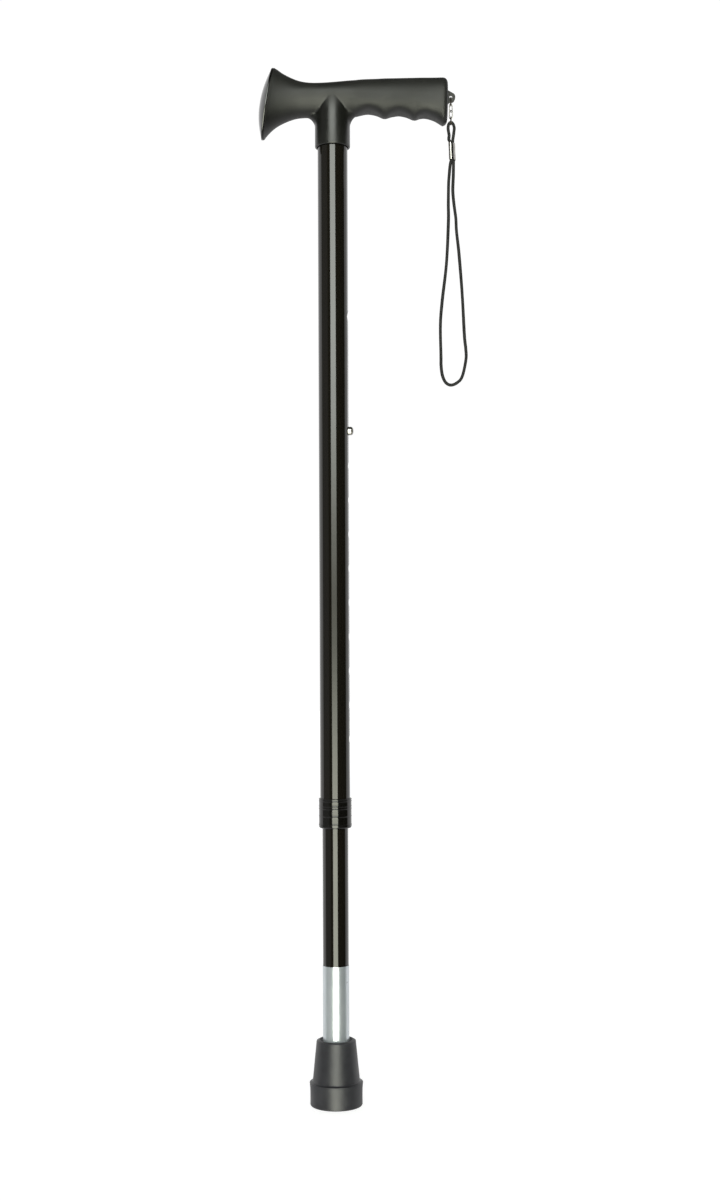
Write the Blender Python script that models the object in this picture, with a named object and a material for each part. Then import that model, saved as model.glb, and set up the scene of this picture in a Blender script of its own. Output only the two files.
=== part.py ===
# Adjustable walking stick, at its shortest setting.
# Metres, +Z up along the shaft, origin at the centre of the rubber tip's underside.
# The long end of the grip points to +X and the flared nose to -X.

import math

import bmesh
import bpy
from mathutils import Matrix, Vector

MM = 0.001

# Gap left between pieces that touch, and how far a cutter runs past what it cuts
GAP = 0.0003
CUT_PAST = 0.004

# Tubes
UPPER_TUBE_RADIUS = 0.0111
UPPER_TUBE_WALL = 0.0012
TUBE_SLIDE_CLEARANCE = 0.0003
LOWER_TUBE_WALL = 0.0012
TUBE_EDGE = 0.0003
UPPER_BORE = UPPER_TUBE_RADIUS - UPPER_TUBE_WALL
LOWER_TUBE_RADIUS = UPPER_BORE - TUBE_SLIDE_CLEARANCE
LOWER_BORE = LOWER_TUBE_RADIUS - LOWER_TUBE_WALL

# Height adjustment: the button sits in the top hole of the row
BUTTON_HEIGHT = 0.4993
HOLE_PITCH = 0.0254
HOLE_COUNT = 10
SPARE_HOLE_RISE = 0.0851
SPARE_HOLE_RADIUS = 0.0042
HOLE_SEGMENTS = 20
LAST_HOLE_TO_TUBE_END = 0.0557
BUTTON_TO_LOWER_TUBE_TOP = 0.0177
UPPER_TUBE_END = BUTTON_HEIGHT - (HOLE_COUNT - 1) * HOLE_PITCH - LAST_HOLE_TO_TUBE_END
LOWER_TUBE_TOP = BUTTON_HEIGHT + BUTTON_TO_LOWER_TUBE_TOP

# Snap button and its leaf spring
BUTTON_RADIUS = 0.00315
BUTTON_STANDS_OUT = 0.0036
BUTTON_DOME = 0.0020
BUTTON_DOME_FULLNESS = 0.6
BUTTON_TAIL_RADIUS = 0.0012
BUTTON_TAIL_HEAD_RADIUS = 0.0020
BUTTON_TAIL_HEAD = 0.0008
SPRING_THICKNESS = 0.0006
SPRING_WIDTH = 0.0080
SPRING_SIDE_GAP = 0.0002
SPRING_ABOVE_BUTTON = 0.0072
SPRING_STRAIGHT_BELOW_BUTTON = 0.0093
SPRING_TAPER_LENGTH = 0.0340
SPRING_BEND_RADIUS = 0.0018
HOLE_RADIUS = BUTTON_RADIUS + GAP

# Guide bush in the top of the lower tube
BUSH_PLUG_LENGTH = 0.0095
BUSH_FLANGE = 0.0025
BUSH_BORE = 0.0050

# Lead-in on the nylon pieces' edges
LEAD_IN_DEPTH = 0.0006
LEAD_IN_LENGTH = 0.0012

# Lock ring, its thread neck on the upper tube, and the split clamp ring inside
NECK_DEPTH = 0.0004
NECK_LENGTH = 0.0100
RING_ABOVE_TUBE_END = 0.0124
RING_BELOW_TUBE_END = 0.0095
RING_WALL = 0.0014
RING_FLUTE_DEPTH = 0.0003
RING_RIDGES = (0.0200, 0.0162, 0.0144, 0.0088, 0.0028)
RING_FLOOR = 0.0016
RING_FLOOR_TAPER = 0.0004
RING_TAPER_HEIGHT = 0.0040
RING_CORNER = 0.0013
RING_TOP_EDGE = 0.0004
RING_MOUTH_EDGE = 0.0003
CLAMP_SPLIT = 0.0015
CLAMP_TUBE_GAP = 0.00025

# Rubber tip and the steel washer in it
TIP_RADIUS = 0.0194
TIP_FOOT_HEIGHT = 0.0175
TIP_CONE_BOTTOM_RADIUS = 0.0175
TIP_HEIGHT = 0.0489
TIP_RIM_WALL = 0.0047
TIP_FLOOR = 0.0070
TIP_MOUTH_DEPTH = 0.0045
TIP_MOUTH_FLARE = 0.0029
TIP_CORNER = 0.0014
TIP_RIM_ROUNDING = 0.0005
TIP_FOOT_EDGE = 0.0004
TIP_SHOULDER_FLARE = 0.0004
TIP_SHOULDER_DEPTH = 0.0045
TIP_FOOT_FILLET = 0.0011
TREAD_DEPTH = 0.0016
TREAD_SLOPE = 0.0003
TREAD_GROOVES = ((0.0070, 0.0090), (0.0115, 0.0135))
WASHER_THICKNESS = 0.0015
LOWER_TUBE_BOTTOM = TIP_FLOOR + WASHER_THICKNESS + 2 * GAP

# Sticker round the lower tube, down into the tip's flared mouth
LABEL_TOP = 0.1037
LABEL_THICKNESS = 0.00015
LABEL_GAP = 0.0001
LABEL_INTO_TIP = 0.0025

# Handle: all its heights are counted from the widest line of the grip
GRIP_HEIGHT = 0.7455
SOCKET_WALL = 0.0016
SOCKET_BELOW_GRIP = 0.0366
SOCKET_LIP = 0.0010
SOCKET_FILLET_FRONT = 0.0090
SOCKET_FILLET_BACK = 0.0100
SOCKET_FILLET_SIDE = 0.0064
SOCKET_FILLET_START = 0.0220
SOCKET_FILLET_END_FRONT = 0.0130
SOCKET_FILLET_END_BACK = 0.0110
SOCKET_FILLET_INSIDE = 0.0030
SOCKET_TOP_RISE = 0.0015
TUBE_TOP_BELOW_GRIP = 0.0005
SOCKET_RADIUS = UPPER_TUBE_RADIUS + GAP + SOCKET_WALL
END_ROUNDING = 0.0036
NOSE_WALL = 0.0025
POCKET_STATION = 4
GRIP_SEGMENTS = 32

# Oval cap on the nose
CAP_EDGE = 0.0013
CAP_EDGE_ROUNDING = 0.0003
CAP_BULGE = 0.0053
CAP_SPIGOT_STATION = 2

# Plug in the top of the upper tube and the screw through it
PLUG_LENGTH = 0.0230
PLUG_FLOOR = 0.0085
SCREW_RADIUS = 0.0020
SCREW_HEAD_RADIUS = 0.0038
SCREW_HEAD_HEIGHT = 0.0025
SCREW_HEAD_EDGE = 0.0010
SCREW_SLOT_LENGTH = 0.0050
SCREW_SLOT_WIDTH = 0.0009
SCREW_SLOT_DEPTH = 0.0012
SCREW_INTO_HANDLE = 0.0068

# Strap lug: a drilled ear on the end face of the grip
LUG_THICKNESS = 0.0016
LUG_HOLE_RADIUS = 0.0013
LUG_HOLE_RISE = 0.0009
LUG_HOLE_OUT = 0.0024
LUG_RIM = 0.0020
LUG_ROOT_DEPTH = 0.0012
LUG_ROOT_RISE = 0.0060
LUG_CHIN = 0.0034

# Chain links: centre line length and width, wire radius, turn about Z in degrees
RING_LINK_WIRE = 0.00045
CHAIN_LINK_WIRE = 0.00035
LINKS = (
    ("strap_link_1", 0.0062, 0.0035, RING_LINK_WIRE, 90),
    ("strap_link_2", 0.0059, 0.0031, CHAIN_LINK_WIRE, 45),
    ("strap_link_3", 0.0060, 0.0031, CHAIN_LINK_WIRE, -45),
    ("strap_link_4", 0.0058, 0.0039, RING_LINK_WIRE, 90),
)
LUG_SEAT_GAP = 0.0006
LINK_GAP = 0.00045

# Strap: cord, the sleeve crimped on it, and how far the sleeve hangs under the eye's top. The
# sleeve's long side is turned from Y by SLEEVE_TURN degrees about Z.
CORD_RADIUS = 0.00115
SLEEVE_LENGTH = 0.0125
SLEEVE_WALL = 0.0004
SLEEVE_DROP = 0.0154
SLEEVE_SHIFT = 0.0005
SLEEVE_LEAN = 0.0005
SLEEVE_TURN = -40
STRAND_OFFSET = 0.0013
SLEEVE_SQUARENESS = 0.8


def clear_scene():
    for thing in list(bpy.data.objects):
        bpy.data.objects.remove(thing, do_unlink=True)


def material(name, colour, roughness, metallic=0.0):
    mat = bpy.data.materials.new(name)
    mat.use_nodes = True
    shader = mat.node_tree.nodes["Principled BSDF"]
    shader.inputs["Base Color"].default_value = (*colour, 1.0)
    shader.inputs["Roughness"].default_value = roughness
    shader.inputs["Metallic"].default_value = metallic
    return mat


def place(name, mesh, mat, parent=None):
    mesh.materials.append(mat)
    thing = bpy.data.objects.new(name, mesh)
    bpy.context.collection.objects.link(thing)
    if parent:
        thing.parent = parent
    return thing


def finish(name, bm, mat, parent=None, move=(0, 0, 0)):
    """Turns a bmesh into an object, moved by `move`, with smooth shading over its round parts."""
    bmesh.ops.remove_doubles(bm, verts=bm.verts, dist=1e-7)
    bmesh.ops.recalc_face_normals(bm, faces=bm.faces)
    if bm.calc_volume(signed=True) < 0:
        bmesh.ops.reverse_faces(bm, faces=bm.faces)
    mesh = bpy.data.meshes.new(name)
    bm.to_mesh(mesh)
    bm.free()
    mesh.shade_smooth()
    mesh.set_sharp_from_angle(angle=math.radians(35))
    thing = place(name, mesh, mat, parent)
    thing.location = Vector(move) - (parent.location if parent else Vector())
    return thing


def joint_empty(name, location):
    """An empty on a joint's axis, which its moving pieces are parented to."""
    empty = bpy.data.objects.new(name, None)
    bpy.context.collection.objects.link(empty)
    empty.location = location
    return empty


def cut(target, cutter, operation="DIFFERENCE"):
    cutter.hide_render = True
    cutter.display_type = "WIRE"
    modifier = target.modifiers.new(cutter.name, "BOOLEAN")
    modifier.solver = "EXACT"
    modifier.operation = operation
    modifier.object = cutter


def turned(profile, segments):
    """Spins a closed outline of (radius, height) points about Z."""
    bm = bmesh.new()
    verts = [bm.verts.new((r, 0, z)) for r, z in profile]
    sides = zip(verts, verts[1:] + verts[:1])
    edges = [bm.edges.new(side) for side in sides if max(v.co.x for v in side) > 0]
    bmesh.ops.spin(
        bm,
        geom=verts + edges,
        cent=(0, 0, 0),
        axis=(0, 0, 1),
        angle=2 * math.pi,
        steps=segments,
        use_merge=True,
        use_duplicate=False,
    )
    return bm


def arc(centre, radius, start, end, steps):
    """Points on an arc in the (radius, height) plane, angles in degrees from +radius."""
    points = []
    for i in range(steps + 1):
        angle = math.radians(start + (end - start) * i / steps)
        points.append((centre[0] + radius * math.cos(angle), centre[1] + radius * math.sin(angle)))
    return points


def cylinder(bm, radius, start, end, segments):
    """A closed cylinder between two points."""
    start, end = Vector(start), Vector(end)
    along = end - start
    matrix = Matrix.Translation((start + end) / 2) @ along.to_track_quat("Z", "Y").to_matrix().to_4x4()
    bmesh.ops.create_cone(
        bm,
        cap_ends=True,
        segments=segments,
        radius1=radius,
        radius2=radius,
        depth=along.length,
        matrix=matrix,
    )


def loft(sections):
    """Extrudes a closed ring of points from one section to the next and closes both ends."""
    bm = bmesh.new()
    ring = [bm.verts.new(p) for p in sections[0]]
    edges = [bm.edges.new(side) for side in zip(ring, ring[1:] + ring[:1])]
    bottom = edges
    for points in sections[1:]:
        pushed = bmesh.ops.extrude_edge_only(bm, edges=edges)["geom"]
        fresh = {v for v in pushed if isinstance(v, bmesh.types.BMVert)}
        ring = [next(e.other_vert(v) for e in v.link_edges if e.other_vert(v) in fresh) for v in ring]
        edges = [e for e in pushed if isinstance(e, bmesh.types.BMEdge) and set(e.verts) <= fresh]
        for vert, point in zip(ring, points):
            vert.co = point
    bmesh.ops.contextual_create(bm, geom=bottom)
    bmesh.ops.contextual_create(bm, geom=edges)
    return bm


def smooth_values(rows, steps):
    """Reads `steps` in-between rows from a smooth curve through each pair of rows."""
    out = []
    last = len(rows) - 1
    for i in range(last):
        before, start = rows[max(i - 1, 0)], rows[i]
        end, after = rows[i + 1], rows[min(i + 2, last)]
        for k in range(steps):
            t = k / steps
            out.append(
                tuple(
                    b + 0.5 * t * (c - a + t * (2 * a - 5 * b + 4 * c - d + t * (3 * (b - c) + d - a)))
                    for a, b, c, d in zip(before, start, end, after)
                )
            )
    out.append(tuple(rows[-1]))
    return out


# Grip stations from the nose seam to the end of the grip, in millimetres: X and rise of the top
# line, X and rise of the bottom line, half width, rise of the widest line, and how square the
# upper and lower halves are
GRIP_STATIONS = (
    (-42.8, 22.2, -51.3, -30.0, 17.5, -3.9, 2.2, 2.2),
    (-40.2, 20.6, -47.8, -25.7, 16.5, -2.4, 2.2, 2.2),
    (-36.3, 17.9, -42.3, -20.8, 15.4, -1.0, 2.1, 2.2),
    (-30.5, 14.8, -35.0, -16.9, 14.3, 0.3, 2.1, 2.2),
    (-24.0, 12.3, -27.0, -14.2, 13.6, 1.3, 2.0, 2.2),
    (-16.5, 11.0, -18.0, -13.5, 13.2, 2.0, 2.0, 2.2),
    (-8.0, 11.0, -8.5, -13.3, 13.1, 2.0, 2.0, 2.1),
    (1.0, 11.6, 1.0, -13.3, 13.1, 2.0, 2.0, 2.1),
    (9.5, 12.4, 9.5, -13.3, 13.1, 2.0, 2.0, 2.1),
    (17.0, 13.0, 17.0, -12.7, 13.2, 1.6, 2.0, 2.5),
    (22.0, 13.4, 22.0, -10.9, 13.3, 1.2, 2.1, 3.2),
    (27.0, 13.6, 27.0, -9.7, 13.4, 0.8, 2.1, 4.0),
    (33.0, 13.8, 33.0, -11.4, 13.4, 0.6, 2.1, 3.2),
    (38.5, 14.1, 38.5, -14.3, 13.4, 0.5, 2.1, 2.4),
    (44.0, 14.2, 44.0, -12.3, 13.4, 0.4, 2.1, 3.2),
    (49.5, 14.3, 49.5, -11.1, 13.4, 0.3, 2.1, 4.0),
    (55.0, 14.4, 55.0, -12.7, 13.4, 0.2, 2.1, 3.2),
    (60.6, 14.5, 60.6, -15.6, 13.4, 0.1, 2.1, 2.4),
    (65.0, 14.6, 65.0, -13.8, 13.4, 0.0, 2.1, 3.2),
    (69.5, 14.6, 69.5, -13.4, 13.4, 0.0, 2.1, 3.6),
    (75.5, 14.5, 75.5, -15.7, 13.4, 0.0, 2.2, 3.0),
    (81.8, 14.5, 81.4, -19.8, 13.4, 0.0, 2.3, 2.6),
)
GRIP_END = GRIP_STATIONS[-1][0] * MM + END_ROUNDING


def grip_ring(station, inset=0.0, shift=0.0):
    """One closed ring round the grip, drawn in by `inset` and moved along X by `shift`."""
    top_x, top, bottom_x, bottom, half_width, middle = (value * MM for value in station[:6])
    top_power, bottom_power = station[6:]
    slope = (top_x - bottom_x) / (top - bottom)
    points = []
    for i in range(GRIP_SEGMENTS):
        angle = 2 * math.pi * i / GRIP_SEGMENTS
        c, s = math.cos(angle), math.sin(angle)
        power = top_power if s >= 0 else bottom_power
        reach = (top - middle if s >= 0 else middle - bottom) - inset
        y = (half_width - inset) * math.copysign(abs(c) ** (2 / power), c)
        rise = middle + reach * math.copysign(abs(s) ** (2 / power), s)
        points.append((bottom_x + slope * (rise - bottom) + shift, y, GRIP_HEIGHT + rise))
    return points


def horn_ring(turn, scale=1.0, rise=0.0, segments=32):
    """One ring of the two fillets that spread from the socket to -X and to +X under the grip."""
    spread, climb = 1 - math.cos(turn), math.sin(turn)
    r = SOCKET_RADIUS - GAP / 3
    points = []
    for i in range(segments):
        angle = 2 * math.pi * i / segments
        c, s = math.cos(angle), math.sin(angle)
        reach, end = SOCKET_FILLET_FRONT, SOCKET_FILLET_END_FRONT
        if c >= 0:
            reach, end = SOCKET_FILLET_BACK, SOCKET_FILLET_END_BACK
        end = end + (SOCKET_FILLET_END_FRONT - end) * (1 - abs(c))
        x = scale * (r + reach * spread) * c
        y = scale * (r - SOCKET_FILLET_SIDE * spread) * s
        z = GRIP_HEIGHT - SOCKET_FILLET_START + (SOCKET_FILLET_START - end) * climb + rise
        points.append((x, y, z))
    return points


def make_handle(mat):
    stations = smooth_values(GRIP_STATIONS, 2)
    end = stations[-1]
    sections = [grip_ring(stations[k], inset=NOSE_WALL) for k in (POCKET_STATION, 1, 0)]
    sections += [grip_ring(station) for station in stations]
    for turn in (30, 60, 90):
        angle = math.radians(turn)
        inset = END_ROUNDING * (1 - math.cos(angle))
        sections.append(grip_ring(end, inset=inset, shift=END_ROUNDING * math.sin(angle)))
    handle = finish("handle_body", loft(sections), mat)

    lip = GRIP_HEIGHT - SOCKET_BELOW_GRIP
    top = GRIP_HEIGHT + SOCKET_TOP_RISE
    profile = [(SOCKET_RADIUS - SOCKET_LIP, lip), (SOCKET_RADIUS, lip + SOCKET_LIP)]
    profile += [(SOCKET_RADIUS, top), (0.0, top), (0.0, lip)]
    socket = finish("socket_shape", turned(profile, 48), mat)
    cut(handle, socket, "UNION")
    rings = [horn_ring(math.radians(turn)) for turn in (0, 18, 36, 54, 72, 90)]
    rings.append(horn_ring(math.radians(90), 0.9, SOCKET_FILLET_INSIDE))
    horns = finish("fillet_shape", loft(rings), mat)
    cut(handle, horns, "UNION")

    lug_x = GRIP_END + LUG_HOLE_OUT
    lug_z = GRIP_HEIGHT + LUG_HOLE_RISE
    bm = bmesh.new()
    root = GRIP_END - LUG_ROOT_DEPTH
    outline = [(root, LUG_ROOT_RISE), (GRIP_END, LUG_ROOT_RISE)]
    for turn, spread in ((50, 1.0), (25, 1.0), (0, 1.0), (-26, 1.04), (-59, 1.24), (-77, 1.31)):
        angle = math.radians(turn)
        reach = (LUG_HOLE_RADIUS + LUG_RIM) * spread
        outline.append((lug_x + reach * math.cos(angle), LUG_HOLE_RISE + reach * math.sin(angle)))
    outline += [(GRIP_END + LUG_ROOT_DEPTH, -LUG_CHIN), (root, -LUG_ROOT_RISE)]
    verts = [bm.verts.new((x, -LUG_THICKNESS / 2, GRIP_HEIGHT + z)) for x, z in outline]
    face = bm.faces.new(verts)
    pushed = bmesh.ops.extrude_face_region(bm, geom=[face])["geom"]
    moved = [v for v in pushed if isinstance(v, bmesh.types.BMVert)]
    bmesh.ops.translate(bm, verts=moved, vec=(0, LUG_THICKNESS, 0))
    lug = finish("lug_shape", bm, mat)
    cut(handle, lug, "UNION")

    bm = bmesh.new()
    socket_end = tube_top() + GAP
    cylinder(bm, UPPER_TUBE_RADIUS + GAP, (0, 0, lip - CUT_PAST), (0, 0, socket_end), 48)
    bores = finish("socket_bore", bm, mat)
    cut(handle, bores)
    bm = bmesh.new()
    pilot_end = tube_top() + SCREW_INTO_HANDLE + GAP
    cylinder(bm, SCREW_RADIUS + GAP, (0, 0, socket_end - CUT_PAST), (0, 0, pilot_end), 20)
    cylinder(bm, LUG_HOLE_RADIUS, (lug_x, -CUT_PAST, lug_z), (lug_x, CUT_PAST, lug_z), 16)
    holes = finish("small_bores", bm, mat)
    cut(handle, holes)
    return handle


def tube_top():
    """The upper tube ends just under the widest line of the grip."""
    return GRIP_HEIGHT - TUBE_TOP_BELOW_GRIP


def make_nose_cap(mat):
    """Oval cap: a spigot in the nose's pocket, a thin edge band, and a dome."""
    stations = smooth_values(GRIP_STATIONS, 2)
    nose = stations[0]
    edge = CAP_EDGE_ROUNDING
    sections = [
        grip_ring(stations[CAP_SPIGOT_STATION], inset=NOSE_WALL + GAP),
        grip_ring(stations[1], inset=NOSE_WALL + GAP),
        grip_ring(nose, inset=NOSE_WALL + GAP, shift=-GAP),
        grip_ring(nose, inset=edge, shift=-GAP),
        grip_ring(nose, shift=-GAP - edge),
        grip_ring(nose, shift=edge - GAP - CAP_EDGE),
    ]
    rim = [Vector(p) for p in grip_ring(nose, inset=edge, shift=-GAP - CAP_EDGE)]
    centre = sum(rim, Vector()) / len(rim)
    sections.append(rim)
    for share in (0.95, 0.85, 0.7, 0.5, 0.25):
        bulge = Vector((CAP_BULGE * (1 - share**2), 0, 0))
        sections.append([centre.lerp(point, share) - bulge for point in rim])
    return finish("nose_cap", loft(sections), mat)


def make_upper_tube(mat):
    neck = UPPER_TUBE_RADIUS - NECK_DEPTH
    shoulder = UPPER_TUBE_END + NECK_LENGTH
    profile = [
        (UPPER_BORE, UPPER_TUBE_END),
        (neck - TUBE_EDGE, UPPER_TUBE_END),
        (neck, UPPER_TUBE_END + TUBE_EDGE),
        (neck, shoulder),
        (UPPER_TUBE_RADIUS, shoulder + NECK_DEPTH),
        (UPPER_TUBE_RADIUS, tube_top()),
        (UPPER_BORE, tube_top()),
    ]
    tube = finish("upper_tube", turned(profile, 48), mat)
    bm = bmesh.new()
    inside, outside = UPPER_BORE - CUT_PAST, UPPER_TUBE_RADIUS + CUT_PAST
    for i in range(HOLE_COUNT):
        z = BUTTON_HEIGHT - i * HOLE_PITCH
        cylinder(bm, HOLE_RADIUS, (inside, 0, z), (outside, 0, z), HOLE_SEGMENTS)
    z = BUTTON_HEIGHT + SPARE_HOLE_RISE
    cylinder(bm, SPARE_HOLE_RADIUS, (inside, 0, z), (outside, 0, z), HOLE_SEGMENTS)
    cut(tube, finish("height_holes", bm, mat))
    return tube


def make_tube_plug(mat):
    """Nylon plug in the tube's top, counterbored from below for the screw's head."""
    top = tube_top()
    outer = UPPER_BORE - GAP
    profile = [
        (SCREW_HEAD_RADIUS + GAP, top - PLUG_LENGTH),
        (outer - LEAD_IN_DEPTH, top - PLUG_LENGTH),
        (outer, top - PLUG_LENGTH + LEAD_IN_LENGTH),
        (outer, top),
        (SCREW_RADIUS + GAP, top),
        (SCREW_RADIUS + GAP, top - PLUG_FLOOR),
        (SCREW_HEAD_RADIUS + GAP, top - PLUG_FLOOR),
    ]
    return finish("tube_top_plug", turned(profile, 32), mat)


def make_handle_screw(mat):
    seat = tube_top() - PLUG_FLOOR - GAP
    under = seat - SCREW_HEAD_HEIGHT
    tip = tube_top() + SCREW_INTO_HANDLE
    profile = [
        (0, under),
        (SCREW_HEAD_RADIUS - SCREW_HEAD_EDGE, under),
        (SCREW_HEAD_RADIUS, under + SCREW_HEAD_EDGE),
        (SCREW_HEAD_RADIUS, seat),
        (SCREW_RADIUS, seat),
        (SCREW_RADIUS, tip - SCREW_RADIUS),
        (SCREW_RADIUS / 2, tip),
        (0, tip),
    ]
    screw = finish("handle_screw", turned(profile, 20), mat)
    size = Matrix.Diagonal((SCREW_SLOT_LENGTH, SCREW_SLOT_WIDTH, 2 * SCREW_SLOT_DEPTH, 1))
    for turn in (0, 90):
        bm = bmesh.new()
        placed = Matrix.Translation((0, 0, under)) @ Matrix.Rotation(math.radians(turn), 4, "Z") @ size
        bmesh.ops.create_cube(bm, size=1, matrix=placed)
        cut(screw, finish(f"screw_slot_{turn}", bm, mat))
    return screw


def make_lower_tube(mat, parent):
    profile = [
        (LOWER_BORE, LOWER_TUBE_BOTTOM),
        (LOWER_TUBE_RADIUS - TUBE_EDGE, LOWER_TUBE_BOTTOM),
        (LOWER_TUBE_RADIUS, LOWER_TUBE_BOTTOM + TUBE_EDGE),
        (LOWER_TUBE_RADIUS, LOWER_TUBE_TOP - TUBE_EDGE),
        (LOWER_TUBE_RADIUS - TUBE_EDGE, LOWER_TUBE_TOP),
        (LOWER_BORE, LOWER_TUBE_TOP),
    ]
    tube = finish("lower_tube", turned(profile, 48), mat, parent)
    bm = bmesh.new()
    start = (LOWER_BORE - CUT_PAST, 0, BUTTON_HEIGHT)
    end = (LOWER_TUBE_RADIUS + CUT_PAST, 0, BUTTON_HEIGHT)
    cylinder(bm, HOLE_RADIUS, start, end, HOLE_SEGMENTS)
    cut(tube, finish("button_hole", bm, mat))
    return tube


def make_guide_bush(mat, parent):
    seat = LOWER_TUBE_TOP + GAP
    plug = LOWER_BORE - GAP
    flange = LOWER_TUBE_RADIUS
    profile = [
        (BUSH_BORE, seat - BUSH_PLUG_LENGTH),
        (plug - LEAD_IN_DEPTH, seat - BUSH_PLUG_LENGTH),
        (plug, seat - BUSH_PLUG_LENGTH + LEAD_IN_LENGTH),
        (plug, seat),
        (flange, seat),
        (flange, seat + BUSH_FLANGE - LEAD_IN_DEPTH),
        (flange - LEAD_IN_DEPTH, seat + BUSH_FLANGE),
        (BUSH_BORE, seat + BUSH_FLANGE),
    ]
    return finish("guide_bush", turned(profile, 32), mat, parent)


def spring_leg_x():
    """Distance of a leg's centre plane from the axis, with the strip's edges just off the bore."""
    reach = LOWER_BORE - SPRING_SIDE_GAP
    return math.sqrt(reach**2 - (SPRING_WIDTH / 2) ** 2) - SPRING_THICKNESS / 2


def make_snap_spring(mat, parent):
    """A strip bent to a V: the bend is at the bottom, and both legs lie along the bore."""
    leg = spring_leg_x()
    top = BUTTON_HEIGHT + SPRING_ABOVE_BUTTON
    straight = BUTTON_HEIGHT - SPRING_STRAIGHT_BELOW_BUTTON
    bend = straight - SPRING_TAPER_LENGTH
    path = [(-leg, top), (-leg, straight)]
    for turn in (180, 210, 240, 270, 300, 330, 360):
        angle = math.radians(turn)
        path.append((SPRING_BEND_RADIUS * math.cos(angle), bend + SPRING_BEND_RADIUS * math.sin(angle)))
    path += [(leg, straight), (leg, top)]
    bm = bmesh.new()
    verts = [bm.verts.new((x, -SPRING_WIDTH / 2, z)) for x, z in path]
    edges = [bm.edges.new((a, b)) for a, b in zip(verts, verts[1:])]
    strip = bmesh.ops.extrude_edge_only(bm, edges=edges)["geom"]
    moved = [v for v in strip if isinstance(v, bmesh.types.BMVert)]
    bmesh.ops.translate(bm, verts=moved, vec=(0, SPRING_WIDTH, 0))
    spring = finish("snap_spring", bm, mat, parent)
    thick = spring.modifiers.new("strip_thickness", "SOLIDIFY")
    thick.thickness = SPRING_THICKNESS
    thick.offset = 0.0
    thick.use_even_offset = True
    bm = bmesh.new()
    hole = BUTTON_TAIL_RADIUS + GAP
    start, end = (leg - CUT_PAST, 0, BUTTON_HEIGHT), (leg + CUT_PAST, 0, BUTTON_HEIGHT)
    cylinder(bm, hole, start, end, 16)
    cut(spring, finish("tail_hole", bm, mat))
    return spring


def make_snap_button(mat, parent):
    """Turned button: dome and shank outside the leg, tail and peened head inside it."""
    leg = spring_leg_x()
    outer = leg + SPRING_THICKNESS / 2 + GAP
    inner = leg - SPRING_THICKNESS / 2 - GAP
    tip = UPPER_TUBE_RADIUS + BUTTON_STANDS_OUT
    shank = tip - BUTTON_DOME
    profile = [(0, inner - BUTTON_TAIL_HEAD), (BUTTON_TAIL_HEAD_RADIUS, inner - BUTTON_TAIL_HEAD)]
    profile += [(BUTTON_TAIL_HEAD_RADIUS, inner), (BUTTON_TAIL_RADIUS, inner)]
    profile += [(BUTTON_TAIL_RADIUS, outer), (BUTTON_RADIUS, outer)]
    for turn in (0, 22, 45, 68):
        angle = math.radians(turn)
        across = BUTTON_RADIUS * math.cos(angle) ** BUTTON_DOME_FULLNESS
        profile.append((across, shank + BUTTON_DOME * math.sin(angle)))
    profile.append((0, tip))
    bm = turned(profile, 24)
    bmesh.ops.rotate(bm, verts=bm.verts, cent=(0, 0, 0), matrix=Matrix.Rotation(math.pi / 2, 3, "Y"))
    return finish("snap_button", bm, mat, parent, move=(0, 0, BUTTON_HEIGHT))


def ring_radii():
    """Outer radius over the ridges, and the bore over the thread neck."""
    bore = UPPER_TUBE_RADIUS - NECK_DEPTH + GAP
    return bore + RING_WALL, bore


def make_lock_ring(mat, parent):
    """Ring with five thin ridges and hollow flutes, a thread bore and a tapered floor."""
    ridge, bore = ring_radii()
    top = UPPER_TUBE_END + RING_ABOVE_TUBE_END
    bottom = UPPER_TUBE_END - RING_BELOW_TUBE_END
    mouth = UPPER_TUBE_RADIUS + GAP
    passage = LOWER_TUBE_RADIUS + GAP
    shoulder = UPPER_TUBE_END + NECK_LENGTH - GAP
    outside = [(mouth + RING_MOUTH_EDGE, top), (ridge - RING_TOP_EDGE, top)]
    heights = [top] + [bottom + h for h in RING_RIDGES] + [bottom]
    for upper, lower in zip(heights, heights[1:]):
        for share in (0.25, 0.5, 0.75, 1.0) if upper < top else (0.5, 1.0):
            flute = RING_FLUTE_DEPTH * 4 * share * (1 - share)
            if lower == bottom and share > 0.5:
                continue
            outside.append((ridge - flute, upper + (lower - upper) * share))
    outside += [(ridge - RING_CORNER, bottom), (passage, bottom)]
    inside = [
        (passage, bottom + RING_FLOOR),
        (bore - RING_FLOOR_TAPER, bottom + RING_FLOOR),
        (bore, bottom + RING_FLOOR + RING_TAPER_HEIGHT),
        (bore, shoulder),
        (mouth, shoulder + NECK_DEPTH),
        (mouth, top - RING_MOUTH_EDGE),
    ]
    return finish("lock_ring", turned(outside + inside, 40), mat, parent)


def make_clamp_ring(mat, parent):
    """Thin nylon sleeve with a taper outside and one split, between the tube and the ring."""
    bore = ring_radii()[1]
    floor = UPPER_TUBE_END - RING_BELOW_TUBE_END + RING_FLOOR
    bottom, top = floor + GAP, UPPER_TUBE_END - GAP
    outer = bore - GAP
    inner = LOWER_TUBE_RADIUS + CLAMP_TUBE_GAP
    profile = [
        (inner, bottom),
        (outer - RING_FLOOR_TAPER, bottom),
        (outer, bottom + RING_TAPER_HEIGHT),
        (outer, top),
        (inner, top),
    ]
    ring = finish("clamp_ring", turned(profile, 40), mat, parent)
    bm = bmesh.new()
    middle = (bottom + top) / 2
    size = Matrix.Diagonal((CLAMP_SPLIT, 2 * CUT_PAST, (top - bottom) * 2, 1))
    bmesh.ops.create_cube(bm, size=1, matrix=Matrix.Translation((0, outer, middle)) @ size)
    cut(ring, finish("clamp_split", bm, mat, parent))
    return ring


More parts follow.
